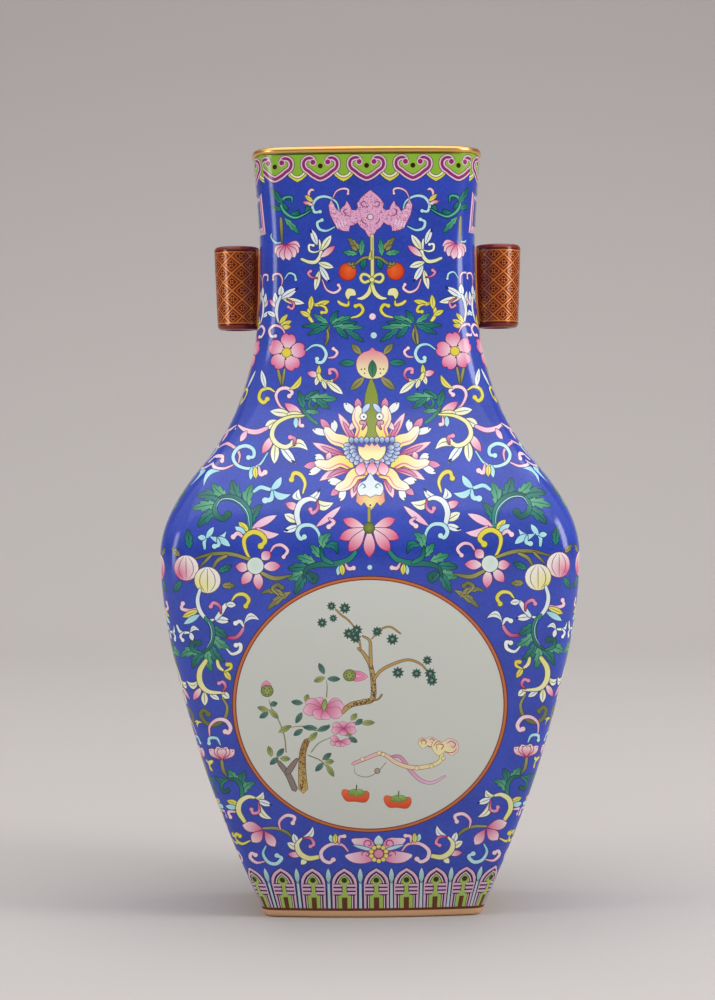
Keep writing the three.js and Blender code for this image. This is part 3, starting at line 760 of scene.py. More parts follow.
# The shoulder: a peach over a great lotus, flowers and leafy scrolls on both sides.
shoulderScrolls = [
    ("line", "olive", 1.1, (-35.4, 214.9), (-34.5, 210.9), (-33.7, 207.8)),
    ("line", "olive", 0.9, (-32.7, 214.8), (-33.3, 210.9), (-33.7, 208.2)),
    ("curl", "sky", 1.35, (-24.3, 222.0), (-21.3, 224.0), (-18.0, 223.4), (-16.4, 220.4), (-17.8, 217.5),
        (-20.0, 217.4), (-20.0, 218.7)),
    ("curl", "pink", 1.1, (-15.6, 219.0), (-13.2, 219.4), (-12.1, 221.2), (-13.6, 222.6)),
    ("line", "olive", 0.8, (-15.9, 230.0), (-15.6, 227.0), (-16.8, 224.0)),
    # A small hanging spray
    ("leaf", "blush", 2.3, (-19.3, 212.0), (-23.8, 213.3)),
    ("leaf", "yellow", 1.6, (-19.5, 211.4), (-19.2, 216.1)),
    ("leaf", "pale", 1.7, (-19.6, 212.0), (-20.5, 208.3)),
    ("line", "lemon", 1.5, (-19.5, 212.6), (-18.1, 210.1), (-15.1, 209.4), (-12.7, 210.8)),
    ("leaf", "pale", 2.6, (-16.3, 209.8), (-10.0, 204.8)),
    ("leaf", "pale", 1.5, (-18.1, 210.4), (-16.5, 206.8)),
    ("curl", "plum", 1.2, (-13.6, 209.8), (-12.0, 211.9), (-13.0, 214.2), (-15.1, 214.4), (-15.0, 213.1)),
    ("leaf", "navy", 0.8, (-17.3, 207.1), (-16.9, 205.5)),
    # Curls under the flower
    ("curl", "yellow", 1.5, (-36.7, 206.0), (-39.1, 207.3), (-42.1, 206.4), (-42.9, 203.6), (-41.0, 201.7),
        (-39.5, 203.1)),
    ("curl", "pink", 1.4, (-32.0, 198.4), (-34.5, 200.4), (-36.1, 204.2), (-34.7, 206.8), (-31.8, 207.3),
        (-29.7, 205.6), (-30.9, 204.2)),
    ("leaf", "yellow", 2.0, (-30.9, 206.8), (-28.1, 208.3), (-26.3, 211.9)),
    ("leaf", "ice", 2.2, (-40.3, 207.3), (-42.5, 214.6)),
    # Teal leaf
    ("line", "teal", 1.3, (-19.9, 193.3), (-23.1, 195.8), (-25.5, 199.4), (-25.2, 202.4), (-22.3, 203.7)),
    ("leaf", "teal", 2.6, (-25.2, 199.4), (-27.0, 206.0)),
    ("leaf", "teal", 2.3, (-25.0, 202.7), (-19.4, 206.1)),
    ("leaf", "jade", 3.4, (-23.2, 203.3), (-12.4, 202.9)),
    ("leaf", "teal", 2.4, (-20.5, 203.0), (-15.1, 199.0)),
    ("curl", "teal", 1.4, (-22.3, 203.0), (-23.2, 200.6), (-21.7, 199.1), (-20.4, 200.1)),
    ("leaf", "jade", 1.4, (-24.6, 198.2), (-19.0, 197.6)),
    # Pale scroll leaf
    ("leaf", "pale", 3.0, (-30.5, 197.2), (-38.3, 198.3)),
    ("leaf", "blush", 3.2, (-25.8, 196.5), (-32.7, 201.4)),
    ("leaf", "lemon", 2.6, (-24.9, 196.3), (-31.8, 197.2)),
    ("leaf", "pale", 3.2, (-35.6, 194.8), (-40.3, 191.8)),
    ("leaf", "blush", 3.0, (-37.0, 188.8), (-41.1, 182.0)),
    ("leaf", "pale", 3.2, (-36.1, 186.2), (-36.3, 178.1)),
    ("leaf", "ice", 3.0, (-34.3, 185.2), (-28.2, 177.9)),
    ("leaf", "pale", 3.2, (-31.0, 184.0), (-27.4, 185.9), (-23.5, 183.1)),
    ("curl", "lemon", 1.9, (-25.1, 196.5), (-30.9, 196.0), (-35.8, 193.5), (-37.5, 189.3), (-35.7, 185.9),
        (-32.1, 184.4), (-29.2, 185.9)),
    ("curl", "plum", 1.4, (-29.0, 185.1), (-28.6, 187.5), (-30.4, 188.2)),
    ("leaf", "navy", 1.2, (-29.9, 179.4), (-28.1, 178.1)),
    ("leaf", "sky", 1.9, (-28.2, 195.9), (-28.2, 191.7)),
    ("curl", "pink", 1.2, (-26.7, 195.6), (-26.7, 192.9), (-25.7, 192.6)),
    # Linked rings at the edge
    ("curl", "pink", 1.4, (-50.1, 178.6), (-49.9, 181.8), (-52.1, 184.4), (-56.3, 186.1), (-61.2, 185.6),
        (-68.3, 183.1), (-70.4, 180.1)),
    ("curl", "sky", 1.5, (-39.0, 182.2), (-42.0, 177.7), (-46.3, 176.3), (-50.7, 177.7), (-52.4, 180.9),
        (-50.8, 184.0), (-47.4, 185.0), (-44.6, 183.5), (-44.4, 180.9), (-46.4, 180.5)),
    ("curl", "pink", 1.5, (-52.3, 177.7), (-55.7, 176.4), (-59.7, 176.9), (-61.6, 179.0), (-60.2, 181.0),
        (-56.9, 181.0), (-56.8, 179.4)),
    ("leaf", "sky", 2.2, (-57.1, 175.4), (-62.0, 174.7), (-63.4, 169.8)),
    ("leaf", "ice", 1.6, (-52.7, 191.4), (-54.8, 193.5)),
    ("line", "pink", 1.8, (-39.5, 191.8), (-43.6, 190.3), (-47.9, 191.1), (-51.6, 193.0)),
    ("leaf", "pink", 2.2, (-47.4, 190.8), (-49.9, 186.7)),
    ("leaf", "sky", 1.7, (-44.9, 177.0), (-45.3, 172.1)),
    ("leaf", "yellow", 1.9, (-43.7, 177.0), (-43.3, 172.6)),
    ("curl", "pink", 1.6, (-42.3, 177.2), (-41.5, 174.0), (-39.8, 174.8)),
    # Great teal acanthus
    ("leaf", "teal", 3.6, (-55.9, 164.8), (-60.8, 166.4), (-65.7, 166.1)),
    ("leaf", "jade", 3.2, (-57.4, 163.0), (-62.3, 162.5), (-67.3, 161.3)),
    ("leaf", "teal", 3.4, (-57.6, 160.8), (-61.1, 158.7), (-64.8, 154.7)),
    ("leaf", "jade", 3.2, (-54.0, 165.6), (-57.6, 167.9), (-60.0, 170.5)),
    ("leaf", "teal", 3.6, (-48.9, 164.1), (-51.2, 167.9), (-52.3, 171.9)),
    ("leaf", "jade", 3.4, (-45.8, 161.3), (-46.4, 165.8), (-44.6, 170.4)),
    ("leaf", "teal", 3.0, (-45.0, 154.9), (-43.8, 159.3), (-40.7, 162.6)),
    ("line", "teal", 2.4, (-45.1, 154.1), (-45.6, 159.1), (-48.0, 163.0), (-52.1, 165.3), (-56.2, 165.2),
        (-58.2, 162.4)),
    ("curl", "teal", 2.2, (-57.2, 164.9), (-58.6, 161.9), (-57.8, 158.7), (-55.0, 157.5), (-53.6, 159.1)),
    ("line", "sky", 0.35, (-45.3, 154.9), (-46.1, 159.4), (-48.4, 162.6), (-52.1, 164.8), (-56.2, 164.7),
        (-58.2, 161.9)),
    # Light blue lily
    ("line", "sky", 1.4, (-43.9, 167.6), (-41.4, 169.2), (-38.4, 168.5), (-36.4, 168.2)),
    ("leaf", "sky", 2.5, (-37.4, 168.2), (-35.0, 170.3), (-33.5, 173.0)),
    ("leaf", "sky", 2.5, (-36.9, 168.3), (-33.8, 165.7), (-29.9, 166.4)),
    ("curl", "sky", 1.9, (-36.9, 167.8), (-37.2, 164.8), (-39.5, 164.3)),
    ("line", "sky", 1.2, (-62.2, 146.4), (-62.4, 149.2), (-61.2, 151.0)),
    ("leaf", "sky", 2.0, (-61.7, 150.5), (-64.9, 150.7)),
    ("leaf", "sky", 2.0, (-61.7, 150.2), (-58.9, 154.5)),
    ("leaf", "sky", 2.6, (-60.5, 151.1), (-56.9, 149.7), (-54.1, 152.8)),
    ("leaf", "sky", 2.4, (-57.7, 150.7), (-55.4, 149.4), (-52.6, 147.3)),
    ("curl", "sky", 1.6, (-57.3, 150.2), (-56.9, 147.9), (-58.5, 147.3)),
    # Yellow curl with its buds
    ("leaf", "yellow", 2.3, (-45.7, 152.8), (-49.3, 156.2)),
    ("leaf", "sky", 2.2, (-46.6, 151.9), (-50.8, 154.5)),
    ("curl", "pink", 1.6, (-47.2, 150.1), (-49.6, 152.1), (-51.4, 150.8)),
    ("leaf", "pink", 2.8, (-44.5, 153.8), (-40.3, 156.1), (-35.0, 158.7)),
    ("leaf", "pink", 2.8, (-42.8, 154.3), (-39.2, 151.6), (-34.1, 151.7)),
    ("curl", "yellow", 1.9, (-44.1, 140.9), (-46.7, 145.6), (-47.2, 150.1), (-44.3, 152.5), (-41.1, 151.8),
        (-39.3, 149.3), (-41.0, 147.3)),
    # White scroll leaf
    ("leaf", "ice", 3.0, (-25.5, 164.2), (-27.8, 166.2), (-26.7, 168.3)),
    ("leaf", "blush", 2.8, (-26.6, 161.2), (-31.7, 163.1)),
    ("leaf", "pale", 3.0, (-27.1, 156.2), (-32.1, 159.1)),
    ("leaf", "ice", 2.5, (-26.4, 154.6), (-32.4, 152.7)),
    ("leaf", "ice", 2.5, (-24.6, 164.6), (-21.1, 165.2), (-18.6, 168.5)),
    ("leaf", "pale", 3.4, (-20.6, 164.6), (-18.0, 162.1), (-13.6, 163.2)),
    ("leaf", "navy", 1.0, (-19.7, 166.9), (-18.6, 168.5)),
    ("leaf", "navy", 1.0, (-30.4, 153.0), (-32.4, 153.2)),
    ("line", "ice", 2.0, (-26.4, 154.5), (-27.4, 159.2), (-26.1, 163.0), (-22.9, 164.7), (-19.6, 163.9)),
    ("curl", "plum", 1.3, (-19.8, 163.9), (-19.5, 161.2), (-21.5, 159.4), (-22.3, 160.8)),
    ("curl", "yellow", 1.6, (-25.2, 166.9), (-24.4, 170.7), (-26.2, 173.8), (-28.7, 174.4), (-29.6, 172.0)),
    ("curl", "sky", 1.6, (-18.7, 147.0), (-19.1, 151.7), (-21.6, 154.7), (-25.5, 154.7), (-27.2, 152.2),
        (-26.0, 149.9), (-24.6, 150.6)),
    ("leaf", "pink", 2.4, (-20.2, 154.3), (-15.8, 157.6), (-10.9, 161.8)),
    ("curl", "pink", 1.5, (-15.3, 157.4), (-13.4, 156.0), (-15.4, 154.3)),
    # Teal stem along the medallion
    ("leaf", "jade", 3.0, (-17.8, 145.9), (-17.6, 149.2), (-14.5, 151.8)),
    ("leaf", "teal", 2.6, (-17.1, 146.7), (-14.0, 147.7), (-12.0, 144.1)),
    ("leaf", "jade", 2.6, (-18.2, 142.7), (-22.1, 147.7)),
    ("leaf", "jade", 3.0, (-20.6, 141.2), (-27.6, 143.5)),
    ("leaf", "teal", 3.2, (-23.2, 139.5), (-30.8, 138.8)),
    ("leaf", "jade", 3.0, (-23.7, 137.2), (-30.9, 134.7)),
    ("leaf", "teal", 3.0, (-24.2, 136.7), (-28.4, 129.2)),
    ("curl", "teal", 1.9, (-23.7, 136.2), (-21.2, 133.6), (-20.4, 135.7), (-22.3, 136.3)),
    ("line", "teal", 1.9, (-5.3, 144.8), (-8.1, 141.9), (-13.1, 140.5), (-19.1, 140.2), (-23.7, 138.7),
        (-25.0, 135.2)),
    ("line", "teal", 1.5, (-14.1, 140.6), (-17.6, 142.7), (-18.3, 146.7)),
    ("leaf", "sky", 1.6, (-11.6, 139.8), (-12.1, 136.1)),
    ("leaf", "yellow", 1.9, (-10.6, 140.2), (-10.3, 136.2)),
    ("curl", "pink", 1.4, (-9.3, 140.5), (-8.1, 138.6), (-6.2, 138.8)),
    # Olive twigs
    ("line", "olive", 1.5, (-40.8, 137.2), (-35.8, 135.1), (-29.5, 136.2)),
    ("leaf", "olive", 2.2, (-29.6, 130.1), (-33.9, 127.7), (-38.7, 123.4)),
    ("leaf", "olive", 2.0, (-31.8, 127.9), (-35.8, 130.4), (-41.0, 129.5)),
    ("curl", "olive", 1.4, (-34.4, 128.7), (-36.8, 131.2), (-34.8, 132.8), (-33.2, 131.7)),
    ("line", "olive", 1.3, (-44.8, 142.1), (-51.9, 144.3), (-59.4, 144.4), (-66.5, 142.5)),
    ("line", "olive", 1.2, (-53.9, 143.7), (-57.4, 141.9), (-59.8, 138.0)),
    ("line", "olive", 0.9, (-59.7, 144.0), (-63.9, 139.8)),
    ("leaf", "teal", 2.6, (-68.0, 146.4), (-68.7, 153.6)),
    ("leaf", "teal", 2.2, (-57.0, 137.8), (-52.1, 140.1)),
    ("leaf", "olive", 2.2, (-55.8, 132.5), (-51.0, 132.5)),
    ("leaf", "teal", 2.2, (-71.2, 134.2), (-74.7, 130.1)),
    ("leaf", "olive", 1.9, (-71.8, 143.8), (-75.4, 146.5)),
    ("curl", "pink", 1.3, (-37.6, 144.7), (-35.9, 147.2), (-33.1, 147.6), (-30.9, 145.5), (-32.4, 143.2)),
]


def peach():
    x, z = 1.6, 216.3
    half = [(0, 6.6), (1.2, 5.4), (3.6, 4.6), (5.6, 2.6), (6.2, 0), (5.6, -2.9), (3.4, -5), (0, -5.6)]
    outline = np.array(half + [(-a, c) for a, c in half[-2:0:-1]]) + [x, z]
    shapes = []
    for side in (-1, 1):
        for ink, base, tip, wide in (("olive", (4.4, 4), (8, 8), 2.4), ("teal", (6.6, 0.6), (13, 0.6), 2.5),
            ("olive", (3.2, -5), (8.6, -10), 2.8)):
            start, end, edge = inks[ink]
            shapes += leaf((x + side * base[0], z + base[1]), (x + side * tip[0], z + tip[1]), wide, start,
                end, edge, vein=edge)
    shapes += edged(smooth(outline, closed=True, steps=2), "#8a3a58", 0.22, "#f3ecb4", "#e57a9c",
        start=(x, z - 3), end=(x, z + 6.6))
    shapes += leaf((x, z - 5.2), (x, z + 1.6), 2.9, "#4a8a58", "#1c6a60", "#2c4a38", vein="#123e38")
    for side in (-1, 1):
        for a, c in ((3, -1.8), (4.3, -1.9), (3.1, -3.5)):
            shapes += disc((x + side * a, z + c), 0.33, "#7a2c1c", sides=6)
    return shapes


# One great petal: a yellow body that parts into pink and white lobes with dotted tips.
def flamePetal(base, tip, width, lobes):
    shapes = []
    for ink, lobeTip, wide in lobes:
        start, end, edge = inks[ink]
        shapes += leaf(np.array(tip) * 0.7 + np.array(base) * 0.3, lobeTip, wide, start, end, edge,
            belly=0.66)
        if ink == "ice":
            spot = np.array(lobeTip) * 0.82 + np.array(tip) * 0.18
            shapes += disc(spot, 0.33, "#2c2440", sides=6)
    base, tip = np.array(base), np.array(tip)
    across = np.array([base[1] - tip[1], tip[0] - base[0]])
    wave = [base + (tip - base) * share + across * sway for share, sway in ((0, 0.05), (0.3, -0.07),
        (0.65, 0.07), (1, 0))]
    shapes += stroke(wave, width * 0.98, "#f0dc58", "#5c2848", taper=(0.85, 1.05, 0.6), toColour="#fbf8e4")
    shapes += stroke(np.array(wave) + across * 0.09, 0.7, "#d84c84", taper=(1, 0.7, 0.2), toColour="#f4b8cc")
    return shapes


def greatLotus():
    left = []
    slender = [
        ((-5.1, 185.3), (-8.1, 190.9), (-11.7, 197.2)),
        ((-9.3, 181.2), (-14.5, 182.8), (-21.6, 185.9)),
        ((-7.5, 175.4), (-12.2, 174.9), (-18.9, 171.5)),
        ((-3.4, 172.8), (-5.2, 169.4), (-6.7, 164.9)),
    ]
    for base, by, tip in slender:
        left += touch("leaf", "rose", 3.0, base, by, tip)
        left += touch("leaf", "plum", 1.2, base, by, (np.array(tip) * 0.75 + np.array(base) * 0.25))
    left += flamePetal((-3.2, 188.0), (-4.0, 199.2), 4.2,
        [("ice", (-9.7, 201.2), 3.0), ("plum", (-4.3, 203.1), 2.6), ("blue", (0.4, 201.0), 2.0),
        ("pink", (-7.5, 190.6), 2.0)])
    left += flamePetal((-6.9, 183.0), (-16.3, 191.0), 4.4,
        [("ice", (-21.9, 191.0), 2.6), ("plum", (-18.6, 195.1), 2.6), ("ice", (-13.3, 194.6), 2.6),
        ("rose", (-15.1, 186.9), 2.6)])
    left += flamePetal((-7.5, 178.0), (-19.8, 178.2), 4.2,
        [("plum", (-24.9, 176.9), 2.6), ("ice", (-20.7, 181.3), 2.8), ("ice", (-23.1, 173.8), 2.6),
        ("rose", (-15.1, 182.2), 2.0)])
    left += flamePetal((-2.3, 174.8), (-11.9, 168.8), 4.4,
        [("ice", (-15.8, 171.5), 2.8), ("plum", (-14.6, 165.9), 2.4), ("ice", (-10.9, 163.8), 2.6),
        ("rose", (-8.1, 167.7), 2.0)])
    left += touch("curl", "plum", 1.1, (-2.5, 190.9), (-1.4, 193.3), (-2.8, 193.6))
    left += disc((-2.0, 195.9), 1.3, "#f8f8f0", "#4a4a58") + disc((-1.9, 195.8), 0.42, "#1c1c28", sides=6)
    shapes = bothSides(left, 1.1)
    x = 1.1
    top = np.array([(0, 211.2), (1.2, 209.7), (4.2, 204.5), (4.8, 199.1), (5.4, 194.3), (9.0, 191.3),
        (9.4, 188.3), (8.0, 186.6)]) * [0.55, 1]
    outline = np.vstack([top, (top * [-1, 1])[::-1]]) + [x, 0]
    calyx = edged(smooth(outline, closed=True, steps=2), "#4c5424", 0.25, "#8a9a34", "#6c7c28",
        start=(x, 170), end=(x, 150))
    z = 182.0
    shapes = calyx + shapes
    for row, count, reach, rise, long in ((0, 17, 9.4, 5.0, 2.6), (1, 13, 7.0, 3.6, 2.4)):
        for i in range(count):
            angle = math.radians(168 + (i + 0.5 * row) * 204 / (count - 1 + row))
            base = (x + reach * 0.8 * math.cos(angle), z + 1.5 + rise * math.sin(angle))
            tip = (x + (reach + long) * 0.92 * math.cos(angle), z + 1.5 + (rise + long) * math.sin(angle))
            shapes += leaf(base, tip, 1.9, "#2040a0", "#cfe0f4", "#1c2868", belly=0.6)
    for i in range(9):
        at = x + (i - 4) * 1.9
        shapes += leaf((at, z + 3.2), (at + (i - 4) * 0.12, z + 6.0), 1.9, "#2040a0", "#c4d8f0", "#1c2868",
            belly=0.6)
    for at, tip in ((-3.4, -5.0), (3.4, 5.0), (0, 0)):
        shapes += leaf((x + at, z - 3.4), (x + tip, z - 8.6), 4.0, "#e8508c", "#fae4ec", "#7a2858", belly=0.6)
    heart = [(-5.2, 2.4), (-3.2, 1.9), (-2.2, 3.4), (-0.9, 2.4), (0, 3.9), (0.9, 2.4), (2.2, 3.4),
        (3.2, 1.9), (5.2, 2.4), (4.8, -0.6), (2.6, -2.9), (0.9, -2.6), (0, -2.0), (-0.9, -2.6),
        (-2.6, -2.9), (-4.8, -0.6)]
    shapes += edged(smooth(np.array(heart) + [x, z], closed=True, steps=2), "#6a3048", 0.25, "#f6f0b0",
        "#e85c80", start=(x, z + 0.8), end=(x, z + 4.6))
    # Under it, a white cloud scroll and a yellow skirt
    foot = z - 15.2
    skirt = [(-5.0, 1.2), (-5.4, -3.2), (-3.6, -4.8), (-2.4, -3.4), (-1.2, -5.2), (0, -6.6), (1.2, -5.2),
        (2.4, -3.4), (3.6, -4.8), (5.4, -3.2), (5.0, 1.2), (2.5, -0.6), (0, -1.2), (-2.5, -0.6)]
    shapes += edged(np.array(skirt) + [x - 0.7, foot], "#5c4a3c", 0.25, "#f4ec88", "#e8608c",
        start=(x - 0.7, foot - 3.4), end=(x + 6.6, foot - 1), round=True)
    cloud = [(0, 7.4), (1.6, 4.8), (4.2, 3.4), (4.9, 1.2), (3.8, -0.9), (1.8, -0.6), (0, -1.6),
        (-1.8, -0.6), (-3.8, -0.9), (-4.9, 1.2), (-4.2, 3.4), (-1.6, 4.8)]
    shapes += edged(smooth(np.array(cloud) + [x - 0.7, foot], closed=True, steps=2), "#4a4a60", 0.25,
        "#eef4f4", "#d4e6ee", start=(x, foot), end=(x, foot + 7))
    for side in (-1, 1):
        shapes += stroke([(x - 0.7 + side * 4.2, foot + 2.2), (x - 0.7 + side * 3.0, foot + 3.4),
            (x - 0.7 + side * 1.9, foot + 2.4), (x - 0.7 + side * 2.7, foot + 1.8)], 0.5, "#5a8ab4")
    shapes += disc((x - 0.8, foot - 4.6), 0.42, "#2c2440", sides=6)
    return shapes


# The drooping blossom and the two ribbed fruits at the shoulder's edge.
def fruitSpray():
    shapes = []
    x, z = -43.1, 139.9
    for tip, by in (((-37.6, 145.2), (-40.0, 142.8)), ((-33.6, 139.8), (-39.4, 139.4)),
        ((-41.8, 130.8), (-42.2, 136.8)), ((-48.3, 133.0), (-44.8, 137.3)),
        ((-50.6, 139.7), (-46.1, 138.9))):
        shapes += touch("leaf", "blush", 3.6, (np.array(by) * 0.8 + np.array([x, z]) * 0.2), tip)
    shapes += disc((x, z), 3.1, "#cfe6da", "#4a5a50", toColour="#e6f2ea", sides=18)
    shapes += ribbedFruit(-69.4, 139.2, 4.7, "rose", ribs=3) + ribbedFruit(-61.3, 134.6, 4.9, "yellow",
        ribs=3)
    return shapes


def shoulderPainting():
    left = painted(shoulderScrolls)
    left += roundFlower(-32.0, 221.3, 7.4, turn=82)
    left += fruitSpray()
    shapes = bothSides(left, 1.0) + greatLotus() + peach()
    x, z = -0.2, 153.4
    shapes += stroke([(x, z + 7.5), (x, z)], 0.9, "#a8a24c", "#5f6436", taper=(1, 1, 1))
    for side in (-1, 1):
        for tip, wide in (((-9.8, 3.6), 3.4), ((-11.2, -3.6), 4.0), ((-7.6, -8.4), 4.2)):
            shapes += leaf((x + side * -1.2, z + 0.4), (x + side * tip[0], z + tip[1]), wide, "#fbe9ee",
                "#e0447e", "#7a2858", belly=0.62)
    shapes += leaf((x, z), (x, z - 10.6), 4.2, "#fbe9ee", "#e0447e", "#7a2858", belly=0.6)
    shapes += disc((x, z + 0.4), 2.0, "#8a9a3c", "#3c4a24", toColour="#5c6c2c")
    shapes += disc((-0.1, 139.0), 0.9, "#cfe4f2", "#2c5c8c")
    return shapes


